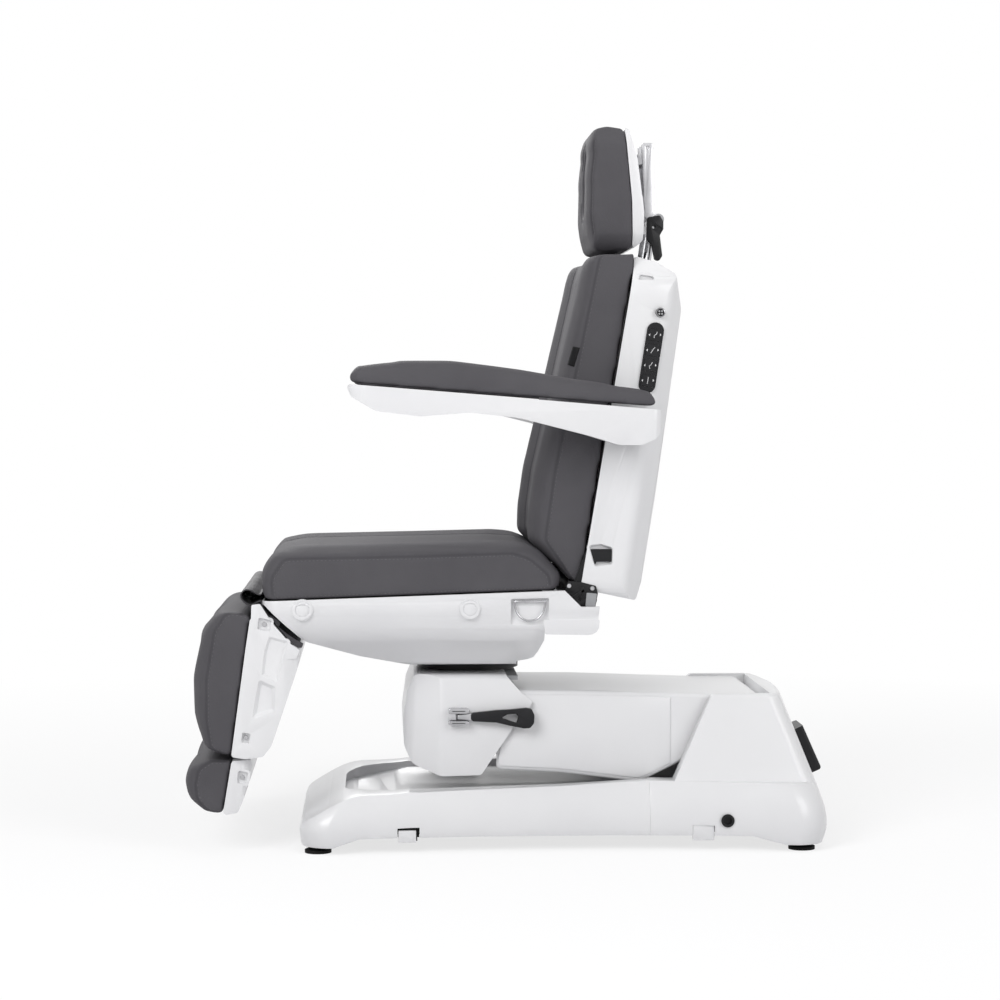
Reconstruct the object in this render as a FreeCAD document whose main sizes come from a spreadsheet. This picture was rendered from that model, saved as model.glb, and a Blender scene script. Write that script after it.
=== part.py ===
# Podiatry chair: a four-motor treatment chair on a parallelogram lift.
# Millimetres. The origin is on the floor under the middle of the chair, +Z is up,
# the patient faces -Y and the patient's left is +X.
import FreeCAD, Part
import math
import os
import re
from types import SimpleNamespace

import Sketcher
from FreeCAD import Placement, Rotation, Vector

doc = FreeCAD.newDocument("PodiatryChair")

# Driving dimensions. Names ending in _y and _z are places, _deg are angles.
sizes = {
    # shared walls and clearances
    "overrun": 3, "skin": 4, "run_gap": 0.3, "swing_gap": 6, "plate": 8, "soft_gap": 0.6,
    # floor cover, its seam and its well
    "base_half": 285, "base_waist": 250, "base_front": -415, "base_rear": 597, "base_bulge": 15,
    "base_corner": 60, "base_low": 14, "base_top": 133, "base_seam": 254,
    "well_half": 195, "well_front": -330, "well_round": 110, "well_floor": 105,
    "notch_front_y": -229, "notch_rear_y": 335, "notch_long": 42, "notch_top": 50,
    # column of the rear cover
    "column_foot_z": 100, "column_top": 295, "column_foot_half": 232, "column_top_half": 203,
    "column_foot_front": 290, "column_top_front": 378, "column_foot_rear": 590, "column_top_rear": 512,
    "column_bulge": 14, "column_round": 30, "column_edge": 10, "slot_half": 183, "slot_rear": 493,
    "slot_shelf": 226, "column_skin": 6,
    # welded floor frame
    "frame_low": 34, "frame_high": 64, "frame_half": 255, "rail_in": 200, "rail_out": 240, "tube_wall": 3,
    "cross_wide": 40, "floor_plate": 8, "foot_x": 235, "foot_front_y": -380, "foot_rear_y": 548,
    "foot_round": 25.5, "foot_thick": 12, "stud_round": 6, "stud_long": 48, "nut_round": 11, "nut_thick": 9,
    # inlet block on the sloping rear face
    "inlet_y": 583, "inlet_z": 164, "inlet_long": 94, "inlet_wide": 92, "inlet_deep": 36, "inlet_deg": 24,
    "inlet_edge": 6, "port_wide": 28, "port_high": 22, "port_deep": 18, "port_place": 20, "blade_wide": 2,
    "blade_high": 4, "blade_long": 12, "blade_step": 7, "rocker_wide": 22, "rocker_high": 16,
    "rocker_deep": 9, "rocker_place": 24, "rocker_proud": 3,
    # foot-switch socket
    "socket_y": 401, "socket_z": 60, "socket_round": 12.6, "socket_bore": 8, "socket_deep": 9,
    "socket_face": 270.8, "socket_back": 244, "socket_rim": 2,
    # lift pivots
    "lift_y": 448, "lift_z": 255, "head_y": -102, "head_z": 230, "link_drop": 60, "shaft_round": 12,
    "pin_round": 9, "column_plate_x": 150, "bracket_x": 24,
    # lift motor, its lever and its yoke
    "lift_lever": 185, "lift_half_deg": 19.5, "motor_x": 75, "motor_z": 75, "yoke_half": 8, "yoke_wall": 8,
    "lever_round": 14, "lever_root": 22, "lift_pin": 8, "yoke_play": 0.8, "ram_round": 7.5, "ram_root_y": 205,
    "lift_tube_round": 21, "lift_tube_rear": 345, "gear_front": 60, "gear_rear": 92, "gear_left": -10,
    "gear_right": 105, "gear_top": 97, "can_x": 18, "can_round": 22, "can_rear": 200,
    "box_right": -30, "box_left": -150, "box_front": 20, "box_rear": 190, "box_top": 95, "box_edge": 5,
    # lift arm
    "beam_in": 100, "beam_out": 130, "beam_half": 22, "arm_half": 174, "arm_front": -45, "arm_rear": 486,
    "arm_low": 121, "arm_top": 302, "panel_thick": 3, "panel_inset": 9, "panel_rear": 300,
    "tie_y": 170, "tie_wide": 40, "link_half": 14, "link_round": 16,
    # head
    "head_front": -217, "head_rear": 34, "head_low": 137, "head_top": 333, "head_half": 188,
    "head_front_half": 150, "head_round": 46, "head_edge": 14, "head_plate_x": 155, "head_plate_thick": 9,
    "swivel_y": -87, "bearing_round": 100, "bearing_neck": 92, "bearing_top": 343, "bearing_bore": 30,
    "clevis_front": -118, "clevis_rear": -92, "clevis_low": 233, "clevis_high": 265, "clevis_out": 208,
    "clevis_ear": 7, "lock_x": 200, "lock_y": -104, "lock_z": 249, "lock_eye": 7, "lock_pin": 3.5,
    "lock_tip": 38, "lock_tall": 30, "lock_thick": 12, "lock_slot": 30, "lock_slot_tall": 10,
    # turntable, tilt pivot and tilt motor
    "disc_round": 96, "disc_thick": 8, "disc_gap": 0.6, "tilt_y": -10, "tilt_z": 400, "upright_x": 70,
    "tilt_shaft": 10, "tilt_boss": 20, "tilt_pin_y": -160, "tilt_pin_z": 440, "tilt_pin": 6,
    "tilt_tube": 18, "tilt_tube_top": 425, "tilt_ram": 8, "tilt_ram_low": 372, "tilt_yoke_half": 12,
    "tilt_yoke_high": 20, "tilt_yoke_front": -172, "tilt_yoke_rear": -126, "tilt_can_wide": 42,
    # seat
    "shell_front": -484, "shell_rear": 153, "shell_low": 354, "shell_top": 503, "seat_half": 300,
    "shell_foot_half": 200, "shell_crease": 430, "seat_corner": 34, "cheek_thick": 14, "rear_wall_y": 50,
    "ledge_top": 472, "post_front": -196, "post_rear": 21, "post_half": 112, "cushion_front": -488,
    "cushion_rear": 87, "cushion_top": 594, "cap_round": 18, "cap_front_y": -407,
    "cap_rear_y": -92, "cap_z": 468, "cap_thick": 3, "cap_groove_out": 13.5, "cap_groove_in": 11,
    "ring_y": 21, "ring_z": 482, "ring_wide": 56, "ring_bend": 25,
    "ring_drop": 36, "ring_wire": 3.2, "ring_axle": 2.4, "ring_pocket": 12, "ring_edge": 8,
    "seat_rail_in": 240, "seat_rail_out": 266, "seat_rail_low": 468, "seat_rail_high": 498,
    "seat_cross_front": -452, "seat_cross_rear": 20, "seat_cross_wide": 28, "keel_x": 82,
    # back pivot, lever and motor
    "back_y": 106, "back_z": 493, "back_shaft": 11, "bracket_out": 262, "back_lever": 60,
    "back_half_deg": 39, "back_pin": 6, "back_play": 1.8, "back_ram": 8, "back_tube": 17, "back_root": 18,
    "back_ram_root": -160, "back_tube_front": -290, "back_tube_rear": 20, "ram_z": 440,
    # leg pivot, lever and motor
    "leg_y": -482, "leg_z": 470, "leg_shaft": 9, "leg_ear_x": 200, "leg_lever": 60, "leg_half_deg": 40,
    "leg_ram_root": -260, "leg_tube_front": -372, "leg_tube_rear": -160, "leg_x": -130, "leg_tube": 13,
    "back_x": 130, "gear_long": 24,
    # backrest
    "rest_half": 280, "rest_back_half": 232, "rest_low": 480, "rest_front": 126,
    "rest_rear": 312, "rest_lean_share": 0.1563, "rest_shoulder": 90, "rest_flat_y": 196, "rest_rear_y": 234,
    "rest_front_y": 96, "pad_front": 12, "pad_high": 1143,
    "pad_half": 264, "ear_x": 268, "upright_low": 580, "upright_top": 1095, "upright_deep": 24,
    "upright_wide": 24, "upright_out": 208, "axle_y": 222, "axle_z": 812, "axle_round": 12,
    "axle_tube": 16, "axle_out": 344, "barrel_y": 138, "barrel_z": 484, "barrel_round": 11,
    # keypad and round button
    "keypad_wide": 32, "keypad_long": 134, "keypad_y": 251, "keypad_z": 942, "keypad_thick": 4,
    "key_wide": 24, "key_tall": 22, "key_step": 29, "key_thick": 5, "key_proud": 1.5,
    "button_y": 268, "button_z": 1027, "button_round": 9, "button_thick": 7, "button_proud": 6,
    # headrest
    "post_x": 65, "post_y": 262, "post_z": 1122, "post_round": 8, "post_low_z": 965, "guide_round": 13,
    "guide_low_z": 1040, "guide_high_z": 1106, "knuckle_y": 285, "knuckle_z": 1216, "knuckle_pin": 6,
    "knuckle_round": 11, "bar_x": 34, "clamp_half": 84, "clamp_low": 1190, "clamp_high": 1212,
    "clamp_front": 262, "clamp_rear": 290, "bar_top": 1354, "bar_y": 267,
    "face_z": 1290, "face_high": 128, "face_wide": 64, "neck_pad_half": 146, "neck_front": 130,
    "neck_low": 1147, "neck_high": 1396, "neck_shell_rear": 254, "neck_round": 60,
    "clamp_lever": 64, "clamp_lever_thick": 12, "clamp_lever_round": 9,
    # armrests
    "arm_in": 306, "arm_out": 402, "arm_rest_front": -325, "arm_rest_rear": 262, "arm_shell_low": 779,
    "arm_pad_top": 936, "arm_nose": 40, "arm_hub": 24,
    # leg section
    "leg_half": 288, "leg_front": -606, "leg_rear": -412, "leg_low": 186, "leg_high": 466,
    "leg_lean_share": 0.109, "leg_rail_x": 120, "leg_tube_half": 12, "leg_frame_low": 200,
    "leg_frame_high": 424,
    "leg_line_y": -504, "leg_line_z": 330, "leg_cross_z": 405, "leg_root": 14, "leg_arm_x": 150,
    # foot section
    "foot_half": 272, "sole_front": -624, "sole_rear": -503, "sole_low": 76, "sole_high": 182,
    "foot_rail_half": 7, "foot_rail_low": 138, "foot_rail_top": 392, "flap_thick": 3, "flap_half": 276,
}

sheet = doc.addObject("Spreadsheet::Sheet", "Sizes")
for row, (alias, value) in enumerate(sizes.items(), start=1):
    sheet.set("A%d" % row, alias)
    sheet.set("B%d" % row, str(value))
    sheet.setAlias("B%d" % row, alias)
doc.recompute()
s = SimpleNamespace(**{alias: float(sheet.get(alias)) for alias in sizes})
nodes = []


# Bound primitives
def bind(thing, prop, text):
    """Bind one property to an expression in the sheet's names."""
    known = re.sub(r"[a-z][a-z0-9_]*", lambda w: "Sizes." + w.group() if w.group() in sizes else w.group(),
                   text)
    thing.setExpression(prop, known)


def box(name, x, y, z):
    """A block between three pairs of expressions."""
    piece = doc.addObject("Part::Box", name)
    for side, place, (low, high) in (("Length", "x", x), ("Width", "y", y), ("Height", "z", z)):
        bind(piece, "Placement.Base." + place, low)
        bind(piece, side, "(%s) - (%s)" % (high, low))
    return piece


turns = {
    "x": Rotation(Vector(0, 1, 0), 90),
    "y": Rotation(Vector(1, 0, 0), -90),
    "z": Rotation(),
}


def rod(name, axis, at, span, radius):
    """A cylinder along an axis; at gives its other two places and span its two ends."""
    piece = doc.addObject("Part::Cylinder", name)
    piece.Placement = Placement(Vector(), turns[axis])
    others = [letter for letter in "xyz" if letter != axis]
    for letter, text in zip(others, at):
        bind(piece, "Placement.Base." + letter, text)
    bind(piece, "Placement.Base." + axis, span[0])
    bind(piece, "Height", "(%s) - (%s)" % (span[1], span[0]))
    bind(piece, "Radius", radius)
    return piece


def fuse(name, *pieces):
    piece = doc.addObject("Part::MultiFuse", name)
    piece.Shapes = list(pieces)
    return piece


def cut(name, base, *tools):
    piece = doc.addObject("Part::Cut", name)
    piece.Base = base
    piece.Tool = tools[0] if len(tools) == 1 else fuse(name + "Tools", *tools)
    return piece


def mirrored(name, source):
    """The same piece on the other side of the chair."""
    piece = doc.addObject("Part::Mirroring", name)
    piece.Source = source
    piece.Normal = Vector(1, 0, 0)
    return piece


def both(name, piece):
    """A piece and its twin, as one piece where they meet and as a pair where they don't."""
    return fuse(name, piece, mirrored(name + "Twin", piece))


def plate(name, corners, x, thick):
    """A body padded along X from a side sketch whose corners are expressions."""
    body = doc.addObject("PartDesign::Body", name)
    plane = next(part for part in body.Origin.OriginFeatures if part.Role == "YZ_Plane")
    sketch = body.newObject("Sketcher::SketchObject", name + "Sketch")
    sketch.AttachmentSupport = (plane, [""])
    sketch.MapMode = "FlatFace"
    places = [(worth(y), worth(z)) for y, z in corners]
    count = len(places)
    for index, place in enumerate(places):
        after = places[(index + 1) % count]
        sketch.addGeometry(Part.LineSegment(Vector(*place, 0), Vector(*after, 0)), False)
    for index in range(count):
        sketch.addConstraint(Sketcher.Constraint("Coincident", index, 2, (index + 1) % count, 1))
    for index, texts in enumerate(corners):
        for kind, text, number in zip(("DistanceX", "DistanceY"), texts, places[index]):
            mark = sketch.addConstraint(Sketcher.Constraint(kind, -1, 1, index, 1, number))
            bind(sketch, "Constraints[%d]" % mark, text)
    pad = body.newObject("PartDesign::Pad", name + "Pad")
    pad.Profile = sketch
    bind(pad, "Length", thick)
    bind(body, "Placement.Base.x", x)
    return body


def bar(name, first, second, radius, x, thick, end=None):
    """A flat bar with round ends between two pivots, as a body with a tangent sketch."""
    body = doc.addObject("PartDesign::Body", name)
    plane = next(part for part in body.Origin.OriginFeatures if part.Role == "YZ_Plane")
    sketch = body.newObject("Sketcher::SketchObject", name + "Sketch")
    sketch.AttachmentSupport = (plane, [""])
    sketch.MapMode = "FlatFace"
    ends = [Vector(worth(y), worth(z), 0) for y, z in (first, second)]
    radii = [worth(radius), worth(end or radius)]
    along = (ends[1] - ends[0]).normalize()
    swing = math.asin((radii[0] - radii[1]) / (ends[1] - ends[0]).Length)
    heading = math.atan2(along.y, along.x)
    left = heading + math.pi / 2 - swing
    right = heading - math.pi / 2 + swing
    touch = [[place + Vector(math.cos(a), math.sin(a), 0) * r for a in (left, right)]
             for place, r in zip(ends, radii)]
    circles = [Part.Circle(place, Vector(0, 0, 1), r) for place, r in zip(ends, radii)]
    sketch.addGeometry(Part.ArcOfCircle(circles[0], left, right + 2 * math.pi), False)
    sketch.addGeometry(Part.LineSegment(touch[0][1], touch[1][1]), False)
    sketch.addGeometry(Part.ArcOfCircle(circles[1], right, left), False)
    sketch.addGeometry(Part.LineSegment(touch[1][0], touch[0][0]), False)
    for one, point, two, other in ((0, 2, 1, 1), (1, 2, 2, 1), (2, 2, 3, 1), (3, 2, 0, 1)):
        sketch.addConstraint(Sketcher.Constraint("Tangent", one, point, two, other))
    for index, texts, r_text in ((0, first, radius), (2, second, end or radius)):
        centre = ends[index // 2]
        for kind, text, number in (("DistanceX", texts[0], centre.x), ("DistanceY", texts[1], centre.y)):
            mark = sketch.addConstraint(Sketcher.Constraint(kind, -1, 1, index, 3, number))
            bind(sketch, "Constraints[%d]" % mark, text)
        mark = sketch.addConstraint(Sketcher.Constraint("Radius", index, worth(r_text)))
        bind(sketch, "Constraints[%d]" % mark, r_text)
    pad = body.newObject("PartDesign::Pad", name + "Pad")
    pad.Profile = sketch
    bind(pad, "Length", thick)
    bind(body, "Placement.Base.x", x)
    return body


def worth(text):
    """The value of an expression in the sheet's names."""
    def number(word):
        return str(sizes[word.group()])
    filled = re.sub(r"[a-z][a-z0-9_]*", number, text)
    return FreeCAD.Units.Quantity(filled).Value


def node(label, piece):
    """Name a finished sub-part."""
    piece.Label = label
    nodes.append(piece)
    return piece


# Outlines and moulded forms
def rounded(corners, place):
    """A closed wire through corners (a, b, radius); each radius is held to what its sides allow."""
    count = len(corners)
    cuts = []
    for index, (a, b, radius) in enumerate(corners):
        here = Vector(a, b, 0)
        before = Vector(*corners[index - 1][:2], 0) - here
        after = Vector(*corners[(index + 1) % count][:2], 0) - here
        turn = math.pi - before.getAngle(after)
        room = min(before.Length, after.Length) / 2
        reach = min(radius * math.tan(turn / 2), room * round_share)
        way = (before.normalize() + after.normalize()).normalize()
        depth = reach / math.tan(turn / 2) * (1 / math.cos(turn / 2) - 1)
        cuts.append((here + before * reach, here + way * depth, here + after * reach))
    edges = []
    for index, (start, middle, end) in enumerate(cuts):
        following = cuts[(index + 1) % count][0]
        if start != end:
            edges.append(Part.Arc(*(place(p.x, p.y) for p in (start, middle, end))).toShape())
        edges.append(Part.LineSegment(place(end.x, end.y), place(following.x, following.y)).toShape())
    return Part.Wire(edges)


# how much of half a side a rounded corner may take
round_share = 0.96


def spread(shares, low, high):
    """Corner shares (a, b, radius share of the height) in the rectangle from low to high."""
    tall = high[1] - low[1]
    return [(low[0] + a * (high[0] - low[0]), low[1] + b * tall, r * tall) for a, b, r in shares]


def at_side(x):
    return lambda a, b: Vector(x, a, b)


def at_front(y):
    return lambda a, b: Vector(a, y, b)


def at_level(z):
    return lambda a, b: Vector(a, b, z)


def prism(wire, way):
    return Part.Face(wire).extrude(way)


def side_prism(corners, x0, x1, inset=0):
    """A side outline padded from x0 to x1, drawn in by inset."""
    wire = rounded(corners, at_side(x0))
    if inset:
        wire = wire.makeOffset2D(-inset)
    return prism(wire, Vector(x1 - x0, 0, 0))


def front_prism(corners, y0, y1, inset=0):
    wire = rounded(corners, at_front(y0))
    if inset:
        wire = wire.makeOffset2D(-inset)
    return prism(wire, Vector(0, y1 - y0, 0))


def level_prism(corners, z0, z1, inset=0):
    wire = rounded(corners, at_level(z0))
    if inset:
        wire = wire.makeOffset2D(-inset)
    return prism(wire, Vector(0, 0, z1 - z0))


def block(x0, x1, y0, y1, z0, z1):
    return Part.makeBox(x1 - x0, y1 - y0, z1 - z0, Vector(x0, y0, z0))


def pin(axis, at, span, radius):
    """A plain cylinder for Part's own booleans."""
    ways = {"x": Vector(1, 0, 0), "y": Vector(0, 1, 0), "z": Vector(0, 0, 1)}
    starts = {"x": Vector(span[0], *at), "y": Vector(at[0], span[0], at[1]), "z": Vector(*at, span[0])}
    return Part.makeCylinder(radius, span[1] - span[0], starts[axis], ways[axis])


def span_x(sign, near, far):
    """The span from near to far on one side of the chair, lowest first."""
    return sorted((sign * near, sign * far))


def moved(shape, x=0, y=0, z=0):
    copy = shape.copy()
    copy.translate(Vector(x, y, z))
    return copy


def opened(shape, *ways):
    """A cavity stretched by its own moved copies, so that it breaks through a wall."""
    return shape.multiFuse([moved(shape, *way) for way in ways]).removeSplitter()


def shaped(name, shape):
    piece = doc.addObject("Part::Feature", name)
    piece.Shape = shape
    return piece


def lever(first, second, first_round, second_round, x0, x1):
    """A flat lever with round ends between two (y, z) places."""
    ends = [Vector(x0, *first), Vector(x0, *second)]
    radii = [first_round, second_round]
    along = (ends[1] - ends[0]).normalize()
    swing = math.asin((first_round - second_round) / (ends[1] - ends[0]).Length)
    heading = math.atan2(along.z, along.y)
    def rim(which, angle):
        return ends[which] + Vector(0, math.cos(angle), math.sin(angle)) * radii[which]
    left = heading + math.pi / 2 - swing
    right = heading - math.pi / 2 + swing
    back = Part.Arc(rim(0, left), rim(0, heading + math.pi), rim(0, right)).toShape()
    front = Part.Arc(rim(1, right), rim(1, heading), rim(1, left)).toShape()
    sides = [Part.LineSegment(rim(0, right), rim(1, right)).toShape(),
             Part.LineSegment(rim(1, left), rim(0, left)).toShape()]
    return prism(Part.Wire([back, sides[0], front, sides[1]]), Vector(x1 - x0, 0, 0))


# how far along each axis the middle of a quarter turn stands, as a share of its radius
diagonal_share = math.sqrt(1 / 2)


# Floor covers
def base_plan(z, inset):
    """The waisted plan outline of the floor cover at one height."""
    half, waist = s.base_half - inset, s.base_waist - inset
    front, rear = s.base_front + inset, s.base_rear - inset
    turn = s.base_corner
    bite = turn * (1 - diagonal_share)
    middle = (front + rear) / 2
    def at(x, y):
        return Vector(x, y, z)
    def arc(*points):
        return Part.Arc(*points).toShape()
    return Part.Wire([
        Part.LineSegment(at(turn - half, front), at(half - turn, front)).toShape(),
        arc(at(half - turn, front), at(half - bite, front + bite), at(half, front + turn)),
        arc(at(half, front + turn), at(waist, middle), at(half, rear - turn)),
        arc(at(half, rear - turn), at(half - bite, rear - bite), at(half - turn, rear)),
        arc(at(half - turn, rear), at(0, rear + s.base_bulge), at(turn - half, rear)),
        arc(at(turn - half, rear), at(bite - half, rear - bite), at(-half, rear - turn)),
        arc(at(-half, rear - turn), at(-waist, middle), at(-half, front + turn)),
        arc(at(-half, front + turn), at(bite - half, front + bite), at(turn - half, front)),
    ])


base_side_shares = [
    (0.003, 0, 0.05), (0.062, 0, 0.12), (0.113, 0.14, 0.25), (0.852, 0.14, 0.25), (0.916, 0, 0.12),
    (0.986, 0, 0.05), (1.004, 0.36, 0.2), (0.99, 0.82, 0.12), (0.975, 0.95, 0.1), (0.663, 0.99, 1),
    (0.49, 0.91, 2), (0.207, 0.84, 2), (0.146, 0.95, 0.6), (0.108, 1, 0.3), (0.055, 0.866, 0.3),
    (0.006, 0.487, 0.2), (0, 0.3, 0.1),
]
base_loft_shares = [(-0.1, 0.03), (0.4, 0), (0.74, 0.04), (1.1, 0.16)]


def base_form(inset):
    """The floor cover's outside, or its inside when drawn in by the wall."""
    tall = s.base_top - s.base_low
    wires = [base_plan(s.base_low + up * tall, inset + taper * s.base_waist) for up,
             taper in base_loft_shares]
    corners = spread(base_side_shares, (s.base_front, s.base_low), (s.base_rear, s.base_top))
    side = side_prism(corners, -s.base_half, s.base_half, inset)
    if inset:
        side = opened(side, (0, 0, -2 * inset))
    return Part.makeLoft(wires, True).common(side)


def column_plan(z, half, front, rear, inset):
    """The column's plan: straight front, round corners and a crowned rear."""
    turn = s.column_round
    bite = turn * (1 - diagonal_share)
    half, front, rear = half - inset, front + inset, rear - inset
    def at(x, y):
        return Vector(x, y, z)
    def line(*points):
        return Part.LineSegment(*points).toShape()
    def arc(*points):
        return Part.Arc(*points).toShape()
    return Part.Wire([
        line(at(-half, front), at(half, front)), line(at(half, front), at(half, rear - turn)),
        arc(at(half, rear - turn), at(half - bite, rear - bite), at(half - turn, rear)),
        arc(at(half - turn, rear), at(0, rear + s.column_bulge), at(turn - half, rear)),
        arc(at(turn - half, rear), at(bite - half, rear - bite), at(-half, rear - turn)),
        line(at(-half, rear - turn), at(-half, front)),
    ])


def column_form(inset, top):
    foot = column_plan(s.column_foot_z - inset, s.column_foot_half, s.column_foot_front,
                       s.column_foot_rear, inset)
    head = column_plan(top, s.column_top_half, s.column_top_front, s.column_top_rear, inset)
    return Part.makeLoft([foot, head], True)


def inlet_place(up, out):
    """A place on the sloping rear face: up along the slope and out of it."""
    lean = math.radians(s.inlet_deg)
    return Vector(0, s.inlet_y - up * math.sin(lean) + out * math.cos(lean),
                  s.inlet_z + up * math.cos(lean) + out * math.sin(lean))


def on_slope(wide, high, deep, up, out, across=0):
    """A block square to the rear slope: its outer face lies out from the slope."""
    piece = Part.makeBox(wide, deep, high, Vector(across - wide / 2, -deep, -high / 2))
    piece.rotate(Vector(), Vector(1, 0, 0), s.inlet_deg)
    piece.translate(inlet_place(up, out))
    return piece


def build_covers():
    outer, inner = base_form(0), base_form(s.skin)
    low, high = s.base_low - s.overrun, s.base_top + s.overrun
    well = [(-s.well_half, s.well_front, s.well_round), (s.well_half, s.well_front, s.well_round),
            (s.well_half, s.base_seam + s.overrun, 0), (-s.well_half, s.base_seam + s.overrun, 0)]
    pocket = level_prism(well, s.well_floor, high)
    bed = level_prism(well, s.well_floor - s.skin, high, -s.skin)
    shell = outer.cut(inner.cut(bed)).cut(pocket)
    for sign in (-1, 1):
        edge = sign * s.base_half
        for place in (s.notch_front_y, s.notch_rear_y):
            shell = shell.cut(block(min(edge, edge - sign * s.base_corner),
                                    max(edge, edge - sign * s.base_corner),
                                    place, place + s.notch_long, low, s.notch_top))
    half = s.base_half + s.overrun
    front = shell.common(block(-half, half, s.base_front - s.overrun, s.base_seam - s.run_gap / 2, low, high))
    node("base_front_cover", shaped("FrontCover", front))

    rear_zone = block(-half, half, s.base_seam + s.run_gap / 2, s.base_rear + 2 * s.base_bulge, low, high)
    plain = outer.cut(inner).common(rear_zone)
    column = column_form(0, s.column_top)
    rims = [edge for edge in column.Edges if edge.BoundBox.ZMin > s.column_top - s.run_gap]
    column = column.makeFillet(s.column_edge, rims)
    rear = plain.fuse(column)
    rear = rear.cut(block(-s.slot_half, s.slot_half, s.base_seam - s.overrun, s.slot_rear, low,
                          s.column_top + s.overrun))
    hollow = column_form(s.column_skin, s.column_top).common(
        block(-s.slot_half, s.slot_half, s.column_foot_front, s.base_rear, low, s.slot_shelf))
    rear = rear.cut(hollow).cut(inner)
    for sign in (-1, 1):
        edge = sign * s.base_half
        rear = rear.cut(block(min(edge, edge - sign * s.base_corner), max(edge, edge - sign * s.base_corner),
                              s.notch_rear_y, s.notch_rear_y + s.notch_long, low, s.notch_top))
    rear = rear.cut(on_slope(s.inlet_wide + 2 * s.run_gap, s.inlet_long + 2 * s.run_gap, s.inlet_long, 0,
                             s.inlet_deep))
    rear = rear.cut(pin("x", (s.socket_y, s.socket_z), (s.socket_back, s.base_half),
                        s.socket_round + s.run_gap - s.socket_rim))
    rear = max(rear.Solids, key=lambda solid: solid.Volume)
    node("base_rear_cover", shaped("RearCover", rear))


def build_inlet():
    """The mains inlet block with its port, and the rocker switch above it."""
    proud = s.inlet_deep / 2
    body = on_slope(s.inlet_wide, s.inlet_long, s.inlet_deep, 0, proud)
    body = body.makeFillet(s.inlet_edge, [edge for edge in body.Edges if edge.CenterOfMass.y > s.inlet_y
                                          and edge.Length > s.inlet_deep + s.overrun])
    port = on_slope(s.port_wide, s.port_high, s.port_deep + s.overrun, -s.port_place, proud + s.overrun)
    body = body.cut(port)
    for across, up in ((-s.blade_step, 0), (s.blade_step, 0), (0, s.blade_high)):
        blade = on_slope(s.blade_wide, s.blade_high, s.blade_long, up - s.port_place,
                         proud - s.port_deep + s.blade_long, across)
        body = body.fuse(blade)
    seat = on_slope(s.rocker_wide + 2 * s.run_gap, s.rocker_high + 2 * s.run_gap, s.rocker_deep + s.overrun,
                    s.rocker_place, proud + s.overrun)
    node("power_inlet", shaped("Inlet", body.cut(seat)))
    middle = inlet_place(s.rocker_place, proud)
    lean = math.radians(s.inlet_deg)
    crown = s.rocker_high / 2
    drum = Part.makeCylinder(s.rocker_high, s.rocker_wide, Vector(-s.rocker_wide / 2, 0, 0), Vector(1, 0, 0))
    drum.translate(middle + Vector(0, math.cos(lean), math.sin(lean)) * (s.rocker_proud - s.rocker_high))
    slab = on_slope(s.rocker_wide, s.rocker_high - 2 * s.run_gap, s.rocker_deep - crown / 4 + s.rocker_proud,
                    s.rocker_place, proud + s.rocker_proud)
    node("power_switch", shaped("PowerSwitch", slab.common(drum)))


def build_socket():
    face = rod("SocketFace", "x", ("socket_y", "socket_z"), ("socket_face - socket_rim", "socket_face"),
               "socket_round")
    barrel = rod("SocketBarrel", "x", ("socket_y", "socket_z"), ("socket_back", "socket_face - skin / 2"),
                 "socket_round - socket_rim")
    bore = rod("SocketBore", "x", ("socket_y", "socket_z"), ("socket_face - socket_deep",
                                                             "socket_face + overrun"),
               "socket_bore")
    node("foot_switch_socket", cut("Socket", fuse("SocketSolid", face, barrel), bore))


# Floor frame, feet and lift motor
def frame_tube(name, x, y, z, along):
    """A rectangular tube, open at both ends."""
    wall, run = "tube_wall", "overrun"
    spans = {"x": x, "y": y, "z": z}
    inner = {key: ("%s + %s" % (span[0], wall), "%s - %s" % (span[1], wall)) for key, span in spans.items()}
    inner[along] = ("%s - %s" % (spans[along][0], run), "%s + %s" % (spans[along][1], run))
    return cut(name, box(name + "Out", x, y, z), box(name + "In", inner["x"], inner["y"], inner["z"]))


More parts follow.
